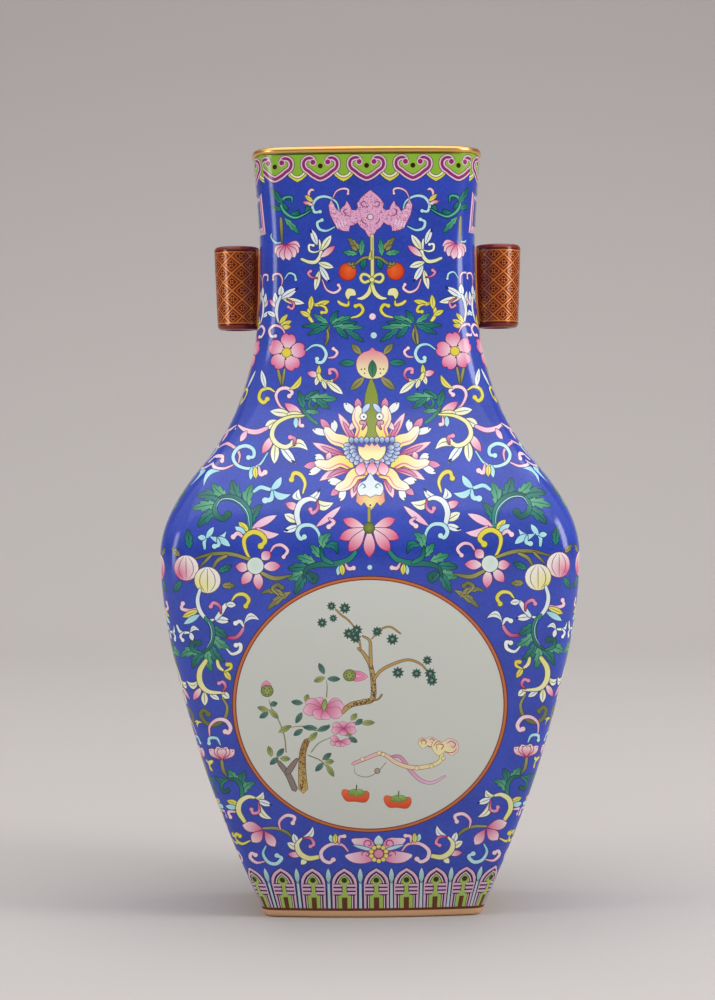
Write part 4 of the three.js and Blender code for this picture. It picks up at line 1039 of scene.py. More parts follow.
# Below the shoulder: scrolls beside and under the round panel.
lowerScrolls = [
    ("curl", "pink", 1.4, (-65.4, 123.9), (-68.3, 123.1), (-71.4, 123.8), (-70.9, 125.7)),
    ("leaf", "yellow", 2.2, (-65.1, 123.1), (-71.1, 120.6)),
    ("leaf", "sky", 2.2, (-64.4, 121.5), (-70.7, 117.9)),
    ("line", "ice", 1.4, (-64.2, 131.1), (-65.2, 127.0), (-64.2, 122.7), (-61.3, 119.4), (-58.3, 119.9)),
    ("leaf", "ice", 2.6, (-59.0, 119.8), (-52.9, 119.1)),
    ("leaf", "navy", 0.9, (-54.1, 119.4), (-52.6, 118.9)),
    ("line", "ice", 1.7, (-58.3, 119.9), (-56.3, 122.4), (-54.6, 125.0), (-53.1, 125.9)),
    ("leaf", "ice", 2.2, (-54.4, 125.5), (-50.7, 125.1)),
    ("curl", "plum", 1.3, (-56.4, 121.9), (-56.8, 124.7), (-59.1, 126.0), (-60.2, 124.6)),
    ("curl", "yellow", 1.5, (-52.1, 126.9), (-50.3, 128.9), (-47.5, 129.1), (-45.7, 127.1), (-46.9, 124.7)),
    ("line", "plum", 1.3, (-54.1, 112.6), (-50.8, 112.8), (-48.5, 115.2), (-47.5, 118.1)),
    ("leaf", "ice", 2.4, (-47.6, 118.2), (-45.1, 120.9), (-41.9, 119.4)),
    ("curl", "ice", 1.5, (-47.8, 116.8), (-49.1, 118.9), (-50.9, 118.2)),
    # Teal leaf
    ("leaf", "teal", 3.0, (-60.1, 117.1), (-57.6, 115.0), (-54.0, 112.8)),
    ("leaf", "jade", 3.0, (-59.6, 113.8), (-57.4, 110.7), (-53.1, 108.5)),
    ("leaf", "teal", 3.0, (-60.0, 110.2), (-59.0, 106.0), (-55.3, 103.5)),
    ("leaf", "jade", 2.8, (-61.3, 108.4), (-61.7, 104.0), (-60.4, 99.7)),
    ("leaf", "teal", 2.8, (-62.8, 107.1), (-66.0, 104.5), (-67.8, 101.0)),
    ("leaf", "jade", 3.2, (-64.1, 106.8), (-68.5, 107.5), (-73.0, 105.1)),
    ("line", "teal", 1.7, (-62.3, 120.2), (-60.1, 117.3), (-59.8, 113.2), (-61.0, 109.1), (-64.2, 106.8)),
    ("curl", "teal", 1.8, (-64.2, 106.8), (-67.4, 108.1), (-67.5, 110.8), (-65.2, 110.7)),
    ("line", "sky", 0.3, (-61.3, 118.9), (-60.1, 115.8), (-60.2, 112.2), (-61.9, 108.9)),
    ("curl", "ice", 1.5, (-54.5, 108.4), (-52.4, 106.4), (-49.5, 107.6), (-49.2, 110.1), (-50.9, 109.8)),
    ("line", "lemon", 1.3, (-58.2, 103.9), (-57.5, 101.4), (-55.4, 99.7)),
    ("leaf", "yellow", 2.0, (-55.6, 100.2), (-53.2, 96.3)),
    ("curl", "yellow", 1.3, (-55.4, 99.7), (-53.1, 100.9), (-53.1, 102.5), (-54.3, 102.4)),
    ("line", "ice", 1.1, (-73.9, 117.3), (-72.5, 114.9), (-70.2, 114.6), (-67.8, 114.7)),
    ("leaf", "ice", 1.7, (-68.3, 114.4), (-66.9, 116.4), (-64.7, 115.5)),
    ("leaf", "ice", 1.7, (-68.1, 114.7), (-67.4, 111.6)),
    ("curl", "ice", 1.2, (-70.9, 114.8), (-72.4, 113.2), (-71.4, 111.7)),
    # Pale scroll leaf
    ("leaf", "pale", 2.5, (-65.3, 96.5), (-67.9, 94.0), (-70.8, 95.9)),
    ("leaf", "blush", 2.4, (-64.6, 93.3), (-68.1, 88.5)),
    ("leaf", "pale", 2.5, (-63.5, 91.8), (-63.3, 86.4)),
    ("leaf", "ice", 1.9, (-61.5, 91.0), (-57.7, 88.8)),
    ("leaf", "pale", 2.6, (-56.8, 91.6), (-53.9, 89.3)),
    ("line", "lemon", 2.0, (-62.4, 103.9), (-64.9, 99.8), (-64.8, 95.2), (-61.9, 91.9), (-55.8, 91.4)),
    ("curl", "plum", 1.2, (-56.6, 91.9), (-55.2, 93.6), (-56.1, 95.6), (-57.7, 95.1)),
    ("leaf", "yellow", 1.8, (-64.7, 79.7), (-67.3, 79.8), (-67.1, 76.7)),
    ("curl", "olive", 1.7, (-56.6, 89.5), (-54.8, 85.8), (-56.0, 81.3), (-59.7, 78.8), (-63.4, 79.8),
        (-65.2, 83.0), (-63.8, 84.6), (-62.1, 83.1)),
    ("curl", "pink", 1.6, (-61.9, 74.5), (-61.7, 78.3), (-58.9, 80.8), (-55.6, 80.6), (-53.7, 77.9),
        (-54.6, 75.7), (-55.8, 76.2)),
    ("curl", "sky", 1.3, (-57.8, 70.9), (-59.1, 73.5), (-62.0, 73.5), (-62.3, 71.5)),
    ("line", "yellow", 1.7, (-61.4, 64.3), (-63.6, 62.8), (-61.8, 60.4)),
    ("line", "olive", 1.2, (-57.5, 64.9), (-57.0, 60.9), (-55.7, 58.6)),
    # Teal sprig
    ("leaf", "jade", 2.6, (-51.0, 56.6), (-53.0, 58.2), (-55.0, 61.1)),
    ("leaf", "teal", 2.6, (-50.0, 55.1), (-49.9, 57.7), (-48.5, 60.6)),
    ("leaf", "jade", 2.8, (-49.6, 51.0), (-48.7, 54.1), (-44.8, 55.9)),
    ("leaf", "teal", 2.0, (-54.9, 57.6), (-57.9, 56.4), (-60.9, 58.3)),
    ("line", "teal", 1.4, (-50.2, 48.4), (-50.1, 53.6), (-52.2, 57.1), (-55.6, 57.2)),
    ("curl", "teal", 1.5, (-55.4, 57.1), (-58.0, 55.0), (-57.3, 52.1), (-55.5, 52.7)),
    # Yellow scroll with a parted flower
    ("leaf", "yellow", 2.2, (-51.4, 47.1), (-56.0, 48.6)),
    ("leaf", "sky", 2.1, (-51.9, 45.7), (-56.8, 46.2)),
    ("curl", "pink", 1.4, (-52.1, 44.1), (-55.7, 43.9), (-55.1, 41.8)),
    ("line", "lemon", 1.9, (-49.3, 40.0), (-51.5, 44.2), (-50.8, 48.1), (-47.7, 50.2), (-44.5, 49.7)),
    ("leaf", "pale", 2.4, (-45.0, 49.7), (-42.5, 50.0), (-41.8, 52.2)),
    ("leaf", "ice", 2.4, (-44.0, 48.7), (-38.7, 46.8)),
    ("leaf", "pale", 2.5, (-43.2, 47.4), (-42.7, 43.8), (-38.8, 41.3)),
    ("curl", "plum", 1.3, (-43.8, 48.4), (-43.6, 44.3), (-45.9, 43.6), (-46.5, 45.1)),
    ("leaf", "navy", 1.0, (-39.6, 47.4), (-38.4, 46.7)),
    ("line", "olive", 1.1, (-42.1, 37.4), (-36.9, 37.4), (-32.5, 35.4), (-30.2, 32.1)),
    ("curl", "pink", 1.4, (-35.5, 36.9), (-35.8, 40.2), (-33.1, 42.7), (-29.9, 42.0), (-30.6, 39.6)),
    ("curl", "yellow", 1.5, (-47.5, 32.2), (-50.8, 30.8), (-53.9, 32.6), (-53.0, 34.8), (-51.5, 34.1)),
    ("curl", "sky", 1.6, (-41.3, 30.1), (-42.5, 26.9), (-40.7, 23.5), (-37.5, 22.7), (-35.3, 25.0),
        (-37.1, 26.2)),
    ("curl", "pink", 1.5, (-42.0, 23.6), (-45.2, 23.1), (-47.6, 25.1), (-47.0, 27.0), (-45.5, 26.3)),
    ("leaf", "ice", 2.3, (-29.2, 30.8), (-30.5, 35.2)),
    ("leaf", "ice", 2.3, (-27.1, 33.7), (-24.2, 34.5), (-22.9, 38.1)),
    ("leaf", "pale", 2.6, (-28.7, 28.8), (-32.9, 31.5)),
    ("leaf", "blush", 2.3, (-27.8, 26.3), (-32.7, 26.8)),
    ("leaf", "pale", 2.2, (-25.6, 25.0), (-27.7, 22.5)),
    ("line", "lemon", 2.0, (-20.3, 25.8), (-24.8, 25.1), (-28.2, 27.3), (-29.1, 30.8), (-27.1, 33.5)),
    ("curl", "plum", 1.2, (-26.9, 33.5), (-23.8, 33.3), (-22.6, 31.0), (-24.0, 30.0)),
    ("curl", "pink", 1.6, (-9.4, 28.0), (-11.8, 30.7), (-16.3, 30.8), (-19.7, 28.0), (-19.3, 24.7),
        (-16.8, 23.3), (-15.2, 24.5)),
    ("leaf", "sky", 1.7, (-15.6, 31.6), (-16.3, 34.9)),
    ("leaf", "yellow", 1.8, (-14.4, 31.2), (-14.2, 35.2)),
    ("curl", "pink", 1.3, (-12.8, 31.2), (-12.7, 33.8), (-10.8, 34.2)),
]


def lowerPainting():
    left = painted(lowerScrolls)
    x, z = -57.3, 64.9
    for tip, wide in (((-9.2, 7.6), 3.0), ((8.6, 7.4), 3.0), ((-3.2, 9.4), 3.6), ((3.4, 9.2), 3.6),
        ((-0.2, 8.6), 3.4)):
        share = np.array(tip) * 0.56
        left += leaf((x, z), (x + share[0], z + share[1]), wide, "#e0447e", "#fbe9ee", "#7a2858", belly=0.66)
        left += disc((x + share[0] * 0.86, z + share[1] * 0.86), 0.28, "#7a2858", sides=6)
    for base, tip, wide in (((-42.3, 37.0), (-50.2, 38.6), 4.2), ((-41.6, 36.2), (-37.8, 29.9), 3.8),
        ((-42.3, 36.4), (-46.6, 31.7), 4.4)):
        left += leaf(base, tip, wide, "#d84884", "#fae4ec", "#7a2858", belly=0.6)
    shapes = bothSides(left, 1.0)
    # The flower in the middle, under the panel
    x, z = 2.4, 26.9
    upper = [(0.7, 28.4), (0.3, 31.5), (-1.8, 33.3), (-4.4, 33.3), (-8.0, 32.9), (-6.6, 30.5), (-3.9, 28.9)]
    lower = [(0.6, 26.9), (-1.8, 27.9), (-5.7, 27.6), (-10.6, 26.2), (-7.7, 23.5), (-3.2, 23.0), (0.7, 24.6)]
    left = []
    for outline, whorl in (
        (upper, [(-2.5, 29.6), (-3.3, 31.0), (-2.3, 32.4), (-0.8, 32.0), (-0.6, 30.6), (-1.6, 30.3)]),
        (lower, [(-4.0, 26.2), (-4.0, 27.3), (-2.5, 27.9), (-1.3, 26.9), (-1.8, 25.9), (-2.6, 26.3)]),
    ):
        start, end = np.array(outline[0]), np.array(outline[3 if outline is lower else 4])
        left += edged(smooth(outline, closed=True, steps=3), "#7a2858", 0.24, "#e27aac", "#fae2ee",
            start=start, end=end)
        left += stroke(whorl, 0.55, "#b4387c", taper=(0.5, 1, 0.6))
    left += leaf((0.5, 28.2), (-7.5, 30.5), 1.3, "#cfe6ee", "#b4d8ea", "#2c5c8c")
    shapes += bothSides(left, x)
    shapes += leaf((x, z + 3.4), (x, z + 7.6), 3.4, "#b8dce4", "#dff0f2", "#2c5c8c", belly=0.4)
    for i in range(10):
        angle = math.radians(18 + 36 * i)
        shapes += disc((x + 3.0 * math.cos(angle), z + 3.0 * math.sin(angle)), 0.85, "#ece078", "#6a4c20",
            edgeWidth=0.2, sides=10)
    shapes += disc((x, z), 2.1, "#8a2c50", sides=16)
    shapes += disc((x, z), 1.75, "#f2c2cc", toColour="#dc88a0", sides=16)
    return shapes


# The round panel: a fine banded ring round a white reserve.
def panelGround(x=-0.5, z=85.75):
    shapes = []
    for radius, colour in ((52.5, "#5c1810"), (52.1, "#c4703c"), (51.2, "#8a2c18"), (50.75, "#d2d6ce")):
        shapes += disc((x, z), radius, colour, squash=0.955, sides=140)
    return shapes


# A tuft of pine needles.
def pineTuft(x, z, size):
    shapes = []
    for i in range(9):
        angle = math.radians(40 * i + 12)
        tip = (x + size * 1.08 * math.cos(angle), z + size * 1.08 * math.sin(angle))
        shapes += leaf((x, z), tip, size * 0.33, "#123c34", "#2c6a56", None, belly=0.72)
    for i in range(9):
        angle = math.radians(40 * i + 32)
        tip = (x + size * 0.82 * math.cos(angle), z + size * 0.82 * math.sin(angle))
        shapes += leaf((x, z), tip, size * 0.2, "#0e3a30", "#1c5444", None, belly=0.7)
    return shapes


def panelTree():
    bark = dict(taper=(1.25, 0.9, 0.75), toColour="#a07a40")
    shapes = []
    trunk = [(-26.3, 53.4), (-26.6, 60.8), (-26.2, 68.1), (-24.6, 72.6)]
    shapes += stroke(trunk, 2.7, "#c8a860", "#5a3c20", edgeWidth=0.2, **bark)
    shapes += stroke([(-11.2, 83.6), (-7.7, 86.5), (-3.0, 87.6), (0.5, 88.8), (0.9, 94.2), (0.0, 101.3),
        (-2.5, 106.1), (-4.8, 108.4)], 1.7, "#bc9c5c", "#4c3018", taper=(0.8, 1, 0.35), edgeWidth=0.22)
    shapes += stroke([(0.0, 101.3), (-0.1, 107.2), (-0.4, 111.3), (-3.1, 113.1)], 1.0, "#bc9c5c", "#4c3018",
        taper=(1, 0.9, 0.3), edgeWidth=0.2)
    shapes += stroke([(0.8, 96.0), (3.5, 99.5), (8.1, 102.1), (13.9, 103.8), (18.5, 102.3), (21.4, 99.3)],
        0.95, "#c09a58", "#4c3018", taper=(1, 0.8, 0.3), edgeWidth=0.2)
    shapes += stroke([(0.4, 111.9), (3.6, 115.3), (7.3, 116.5), (11.3, 113.8)], 0.5, "#b98f50", "#5a3c20",
        edgeWidth=0.15)
    shapes += stroke([(-5.6, 116.0), (-8.5, 119.3), (-10.8, 121.0), (-13.0, 123.2)], 0.5, "#b98f50",
        "#5a3c20", edgeWidth=0.15)
    shapes += stroke([(-3.7, 107.5), (-4.2, 110.8), (-5.6, 114.3)], 0.6, "#b98f50", "#5a3c20", edgeWidth=0.15)
    shapes += stroke([(0.5, 88.0), (2.8, 88.8), (4.1, 90.5)], 0.5, "#a07a40", "#5a3c20", edgeWidth=0.15)
    chance = np.random.default_rng(11)
    for line, width, count in ((trunk, 1.1, 95),
        ([(-8.8, 85.9), (-3.0, 87.6), (0.5, 88.8), (0.9, 94.2), (0.0, 101.3)], 0.65, 95)):
        along = smooth(line, steps=16)
        for i in range(count):
            spot = along[int(chance.uniform(0, 1) * (len(along) - 1))] + chance.uniform(-width, width, 2)
            shapes += disc(spot, chance.uniform(0.18, 0.34), "#54340f", sides=5)
    tufts = (
        ((-14.6, 124.5), 1.7), ((-9.6, 123.7), 2.1), ((-18.2, 118.2), 1.9), ((-14.0, 119.9), 1.5),
            ((-8.2, 114.0), 2.1), ((-5.2, 115.3), 2.1),
        ((-5.7, 112.4), 2.1), ((2.5, 114.7), 1.9), ((8.2, 111.7), 2.2), ((10.2, 98.9), 2.2),
            ((17.2, 98.5), 1.9), ((21.3, 103.5), 1.8),
        ((22.4, 98.4), 2.1), ((23.0, 95.7), 2.1),
    )
    for (x, z), size in tufts:
        shapes += pineTuft(x, z, size)
    return shapes


# Peonies, buds and leaves round the trunk.
def panelFlowers():
    shapes = []
    twigs = (
        (0.5, (-32.6, 68.1), (-33.1, 74.1), (-35.0, 80.1), (-37.9, 85.5), (-38.8, 88.8)),
        (0.45, (-16.9, 89.6), (-16.6, 93.2), (-16.8, 96.1)),
        (0.5, (-24.2, 66.9), (-19.0, 64.4), (-15.0, 58.9)),
        (0.5, (-15.9, 78.9), (-20.6, 76.5), (-25.2, 78.3), (-32.8, 77.7)),
        (0.45, (-23.0, 68.1), (-20.0, 71.7), (-14.8, 74.1)),
        (0.45, (-11.2, 77.6), (-5.4, 80.0), (-1.9, 79.4)),
    )
    for width, *line in twigs:
        shapes += stroke(line, width, "#8a8450", taper=(1, 0.9, 0.5))
    for line in ([(-29.6, 53.4), (-31.9, 59.0), (-34.8, 63.2), (-35.6, 64.4)],
        [(-32.0, 60.2), (-30.0, 63.2), (-28.4, 65.4)]):
        shapes += stroke(line, 1.8, "#8c7c74", "#4c3c38", taper=(1.1, 0.9, 0.35))
    dark, light = ("#5c8c7c", "#285c54", "#24403c"), ("#b4bc6c", "#6c8440", "#3c4820")
    leaves = (
        (dark, (-17.6, 98.5), (-19.6, 102.8)), (light, (-17.4, 97.3), (-21.6, 95.7)),
            (dark, (-16.5, 96.7), (-11.6, 96.6)),
        (dark, (-25.9, 87.3), (-30.3, 87.9)), (light, (-24.9, 87.8), (-23.9, 90.7)),
            (dark, (-26.3, 83.7), (-28.7, 79.5)),
        (dark, (-20.5, 77.4), (-26.1, 78.0)), (dark, (-26.1, 77.1), (-29.6, 74.7)),
            (dark, (-20.6, 76.5), (-15.6, 78.3)),
        (light, (-24.1, 72.3), (-20.6, 75.9)), (light, (-35.4, 75.9), (-30.4, 78.6)),
            (light, (-38.8, 84.3), (-43.2, 85.8)),
        (dark, (-39.1, 83.7), (-42.5, 81.6)), (dark, (-38.4, 86.7), (-35.6, 87.4)),
            (light, (-38.7, 84.9), (-35.3, 81.3)),
        (dark, (-36.2, 66.3), (-33.5, 69.6)), (light, (-38.2, 66.3), (-39.3, 70.5)),
            (dark, (-35.6, 66.0), (-38.9, 63.2)),
        (light, (-35.0, 65.7), (-31.1, 65.4)), (dark, (-18.7, 65.0), (-15.4, 67.7)),
            (light, (-17.8, 64.1), (-14.4, 64.5)),
        (dark, (-18.5, 63.8), (-21.5, 60.5)), (light, (-17.2, 63.2), (-14.5, 58.3)),
            (light, (-3.9, 79.4), (1.3, 79.6)),
        (dark, (-6.0, 78.8), (-3.4, 80.9)), (light, (-7.7, 80.6), (-5.5, 83.1)),
            (dark, (-8.7, 74.0), (-5.4, 71.9)),
        (light, (-11.3, 75.8), (-7.3, 74.9)),
    )
    for (start, end, edge), base, tip in leaves:
        shapes += leaf(base, tip, 2.0, start, end, edge, edgeWidth=0.12, vein=edge)
    for (x, z), size, turns in (((-18.0, 85.2), 6.4, (30, 12, 118, 150, 188, 238, 285, 330)),
        ((-10.5, 77.3), 4.0, (95, 30, 150, 200, 340, 265)),
        ((-11.9, 72.5), 3.3, (200, 250, 300, 350, 150))):
        for turn in turns:
            angle = math.radians(turn)
            long = size * (1.15 if abs(math.cos(angle)) > 0.8 else 0.95)
            tip = (x + long * 1.08 * math.cos(angle), z + long * 0.72 * math.sin(angle))
            shapes += leaf((x, z), tip, size * 0.74, "#cc3c80", "#f4c2d6", "#8a2c60", belly=0.66,
                edgeWidth=0.15)
    shapes += leaf((-18.0, 84.3), (-17.4, 88.9), 1.6, "#b4bc6c", "#8c9848", "#5c6830")
    for base, tip, cup in (((-39.5, 90.3), (-39.7, 96.2), (-39.4, 92.1)),
        ((-9.8, 98.0), (-1.1, 97.4), (-8.1, 98.0))):
        shapes += leaf(base, tip, 4.0, "#d8548e", "#eea0be", "#8a3060", belly=0.5, edgeWidth=0.14)
        shapes += leaf(base, np.array(tip) * 0.85 + np.array(base) * 0.15, 1.2, "#f2b6cc", "#eea0be",
            "#a03a6c", edgeWidth=0.1)
        shapes += disc(cup, 2.2, "#a8b860", "#4c5424", toColour="#7c8c44", squash=0.95)
        for a, b in ((-0.9, 0.8), (0.9, 0.8), (-1.2, -0.4), (0, 0.1), (1.2, -0.4), (-0.6, -1.3), (0.6, -1.3)):
            shapes += disc((cup[0] + a, cup[1] + b), 0.3, "#3c4c1c", sides=6)
    return shapes


def panelPicture():
    shapes = panelTree() + panelFlowers()
    # A sceptre of happiness with its ribbon
    shapes += stroke([(6.4, 65.8), (10.8, 66.0), (14.3, 61.1), (18.4, 56.8), (23.0, 55.5), (28.0, 58.1)],
        1.3, "#d880ac", "#84406c", taper=(0.6, 1, 0.4), toColour="#ecc4dc", edgeWidth=0.16)
    shapes += stroke([(-7.2, 63.4), (-2.0, 65.5), (3.8, 67.3), (9.6, 63.6), (15.4, 61.7), (21.9, 62.2),
        (26.0, 64.0), (26.8, 67.0)], 1.45, "#e8b0bc", "#7c4c48", taper=(0.7, 1, 0.9), toColour="#f0e8a4",
        edgeWidth=0.18)
    shapes += stroke([(-6.7, 62.8), (-6.2, 59.5), (-2.1, 58.1), (2.0, 60.0), (5.5, 63.9)], 0.3, "#8a7a68")
    shapes += disc((2.1, 60.5), 0.9, "#b0a088", "#6a5a48")
    for knot in ((-3.5, 65.2), (2.9, 67.6), (4.4, 67.0), (17.2, 61.4), (22.8, 62.2), (27.3, 65.2)):
        shapes += disc(knot, 0.75, "#f0e4a8", "#a04c60", edgeWidth=0.16, sides=10)
    for place, size in (((21.3, 71.3), 2.3), ((28.0, 69.4), 3.4)):
        cloud = [np.array(place) + size * np.array(p) for p in ((-1.5, 0.1), (-1.1, 0.9), (-0.2, 0.7),
            (0.4, 1.05), (1.3, 0.7), (1.5, -0.2), (0.8, -0.9), (0, -0.5), (-0.8, -0.9))]
        shapes += edged(smooth(cloud, closed=True, steps=3), "#8a5a50", 0.14, "#f2eaae", "#ecc6c8",
            start=place, end=(place[0] + size, place[1] + size))
        shapes += stroke([np.array(place) + size * np.array(p) for p in ((-0.9, -0.3), (-0.9, 0.4),
            (-0.2, 0.3), (-0.4, -0.2))], 0.4, "#b84468")
        for line in (((0.2, 0.5), (0.7, 0.75), (1.15, 0.4), (0.95, 0.0), (0.65, 0.2)),
            ((-0.1, -0.4), (0.5, -0.6), (1.0, -0.5), (1.3, -0.1)),
            ((-1.3, 0.2), (-0.9, 0.7), (-0.3, 0.55))):
            shapes += stroke([np.array(place) + size * np.array(p) for p in line], 0.4, "#c05070",
                taper=(0.6, 1, 0.5))
    for place in ((-6.4, 50.6), (9.7, 48.0)):
        x, z = place
        fruitOutline = [(x - 5.1, z + 0.8), (x - 4.2, z + 2.6), (x, z + 1.4), (x + 4.6, z + 1.8),
            (x + 5.2, z - 0.6), (x + 3.6, z - 2.6), (x, z - 2.2), (x - 3.4, z - 2.0)]
        shapes += edged(smooth(fruitOutline, closed=True, steps=3), "#8a2414", 0.16, "#ee6a34", "#d8401c",
            start=(x, z + 2), end=(x, z - 3))
        for a in (-2.6, -1.2, 0.2, 1.6, 2.8):
            shapes += leaf((x + 0.4, z + 2.6), (x + 0.4 + a * 1.25, z - 0.6 + abs(a) * 0.45), 1.7,
                "#a4c468", "#6c9840", "#3c5c24", edgeWidth=0.12)
        shapes += stroke([(x + 0.4, z + 2.2), (x + 0.6, z + 4.4)], 0.5, "#3c5c24")
    return shapes


# The border round the foot: arched panels with spear-headed bars between them, drawn by eye a
# little closer together on the right.
def footBorder(count, leftPitch, rightPitch, middle):
    shapes = [fill([(-70, 3), (70, 3), (70, 12), (-70, 12)], "#2c3470")]
    half = [(4.9, 3), (4.9, 14.6), (4.6, 16.4), (3.8, 17.9), (2.8, 19.1), (1.5, 20.0), (0, 20.9)]
    bands = (
        (5.2, 21.25, "#1c1030"), (4.85, 20.85, "#e4bcd8"), (3.95, 19.7, "#4c103c"), (3.25, 18.8, "#ecdce6"),
        (2.9, 18.35, "#241a2c"), (2.55, 18.0, "#a8c85c"),
    )
    places = [middle + i * (leftPitch if i < 0 else rightPitch) for i in range(-count, count + 1)]
    for x, after in zip(places, places[1:] + [places[-1] + rightPitch]):
        spear = (x + after) / 2
        shapes += edged([(spear - 0.6, 3), (spear + 0.6, 3), (spear + 0.45, 15), (spear - 0.45, 15)],
            "#1c2850", 0.3, "#c4dce0")
        shapes += leaf((spear, 14.6), (spear, 20.9), 1.9, "#8fc4cc", "#c8e6ea", "#1c2850", belly=0.48)
        for reach, top, colour in bands:
            arch = (np.array(half) - [0, 3]) * [reach / 4.9, (top - 3) / 17.9] + [0, 3]
            shapes.append(fill(np.vstack([arch, (arch * [-1, 1])[-2::-1]]) + [x, 0], colour))
        shapes += disc((x, 15.9), 0.95, "#3c2008", "#5c6c24", sides=10)
        for side in (-1, 1):
            neck = [(4.4, 9.6), (3.0, 9.4), (1.3, 9.6), (0.8, 11), (0.75, 13.2), (1.3, 14.5), (3.6, 14.6),
                (4.4, 14.4)]
            shapes.append(fill([(x + side * a, c) for a, c in neck], "#4c103c"))
            for level in (10.0, 11.6, 13.2):
                bar = [(4.6, 0), (1.2, 0), (0.95, 0.5), (1.2, 0.95), (4.6, 0.95)]
                shapes.append(fill([(x + side * a, level + c) for a, c in bar], "#e0b8d6"))
        shapes += edged([(x - 0.85, 3), (x + 0.85, 3), (x + 0.85, 8.6), (x - 0.85, 8.6)], "#3c3c10", 0.22,
            "#6c2c10")
    shapes.append(fill([(-70, 3), (70, 3), (70, 4.1), (-70, 4.1)], "#64240a"))
    return shapes


# The border follows the walls in towards the foot, most at its ends.
def fannedIn(shapes, wide, level=21.0):
    full = float(faceReach(level, wide))
    for shape in shapes:
        points = shape["points"]
        closing = 1 - faceReach(points[:, 1], wide) / full
        share = np.clip(np.abs(points[:, 0]) / full, 0, 1) ** 2
        shape["points"] = np.column_stack([points[:, 0] * (1 - closing * share), points[:, 1]])
    return shapes


# The tubular handles, luted to the sides of the neck.
handle = {
    "top": 265,
    "length": 33.4,
    "topReach": 61.8,
    "bottomReach": 60.5,
    "halfWidth": 9.2,
    "halfDepth": 10,
    "narrowing": 0.94,
    "wall": 3,
    "edge": 1.6,
    "lutingHalfDepth": 5.5,
    "meanRadius": 9.5,
    "lutingReach": 2.6,
    "lutingMargin": 1.2,
    "lineReach": 0.55,
    "lineProud": 0.25,
    "red": "#8c2404",
    "gold": "#d9a45c",
}


# The handles: a gilt lattice of nested diamonds with a small flower in each, on iron red.
def handleLattice(low, high, columns=7, rowHeight=6.9):
    gold, red = handle["gold"], handle["red"]
    pitch = 2 * math.pi * handle["meanRadius"] / columns
    shapes = []
    rows = int((high - low) / rowHeight) + 2
    for column in range(-columns - 1, columns + 2):
        for row in range(2 * rows):
            if (column + row) % 2:
                continue
            x, z = column * pitch / 2, low + row * rowHeight / 2
            corners = np.array([(0, rowHeight / 2), (pitch / 2, 0), (0, -rowHeight / 2), (-pitch / 2, 0)])
            for size, colour in ((1.0, gold), (0.89, red), (0.63, gold), (0.53, "#741a02")):
                shapes.append(fill(corners * size + [x, z], colour))
            for tip in ((0.75, 0.75), (0.75, -0.75), (-0.75, 0.75), (-0.75, -0.75)):
                shapes += leaf((x + tip[0] / 4, z + tip[1] / 4), (x + tip[0], z + tip[1]), 0.6, gold)
    reach = pitch * columns
    for bottom, top, colour in ((low - 3, low + 0.7, "#64180a"), (low + 0.7, low + 1.15, gold),
        (high - 1.15, high - 0.7, gold), (high - 0.7, high + 3, "#64180a")):
        shapes.append(fill([(-reach, bottom), (reach, bottom), (reach, top), (-reach, top)], colour))
    return shapes


# The outer scrolls of a list between two levels, moved in to suit a narrow face.
def nearer(rows, within, levels, by):
    low, high = levels
    kept = [row for row in rows if max(p[0] for p in row[3:]) < within and low < row[3][1] < high]
    return placed(painted(kept), by, 0)


# The frame of fine bands across a narrow face, near the top of the neck.
def keyFrame(reach, low, high):
    shapes = []
    for grow, colour in ((0.3, "#6a1c50"), (0, "#eec6de"), (-1.2, "#a02c74"), (-1.9, "#eec6de"),
        (-2.5, "#2f3f9e")):
        shapes.append(fill([(-reach - grow, low - grow), (reach + grow, low - grow),
            (reach + grow, high + grow), (-reach - grow, high + grow)], colour))
    return shapes


# The wide face's scrolls drawn closer together, as the narrow face leaves less room.
def squeezed(shapes):
    moved = []
    for shape in shapes:
        ratio = lambda p: faceReach(p[..., 1], False) / faceReach(p[..., 1], True)
        drawn = {}
        for part in ("points", "start", "end"):
            place = shape[part].copy()
            place[..., 0] *= ratio(place)
            drawn[part] = place
        moved.append({**shape, **drawn})
    return moved


# A narrow face: the wide face's scrolls, a smaller great lotus and a smaller bat below it.
def sideComposition():
    narrower = body["depthDifference"]
    left = squeezed(painted(shoulderScrolls))
    left += nearer(neckScrolls, -18, (200, 262), narrower)
    left += placed(roundFlower(-32.0, 221.3, 7.4, turn=82), narrower, 0)
    left += placed(fruitSpray(), narrower, 0)
    shapes = squeezed(lowerPainting()) + bothSides(left)
    shapes += placed(greatLotus() + peach(), -0.8, 37.6, size=0.8)
    shapes += halfLotus(0, 155, 11, -90, petals=7, spread=150)
    shapes += placed(neckPainting(), -1.4, -126, size=0.88)
    shapes += keyFrame(float(faceReach(276, False)) - 2.0, 268.6, 284.6)
    shapes += roundFlower(0, 276.6, 5.6, turn=90)
    for side in (-1, 1):
        shapes += touch("leaf", "teal", 5.0, (side * 3, 56), (side * 19, 62))
        shapes += touch("leaf", "jade", 4.5, (side * 3, 54), (side * 16, 52))
        shapes += touch("curl", "sky", 1.2, (side * 4, 52), (side * 11, 45), (side * 20, 47),
            (side * 22, 54), (side * 17, 56))
        shapes += touch("curl", "pink", 1.0, (side * 6, 60), (side * 12, 69), (side * 19, 70),
            (side * 20, 66))
        shapes += touch("leaf", "jade", 2.4, (side * 5.4, 277), (side * 12, 280.5))
        shapes += touch("leaf", "teal", 2.4, (side * 5.4, 276), (side * 13.5, 275))
        shapes += touch("leaf", "olive", 2.0, (side * 4.8, 274.5), (side * 11, 271.2))
    shapes += halfLotus(0, 55, 10.5, 90, petals=7, spread=150)
    return shapes


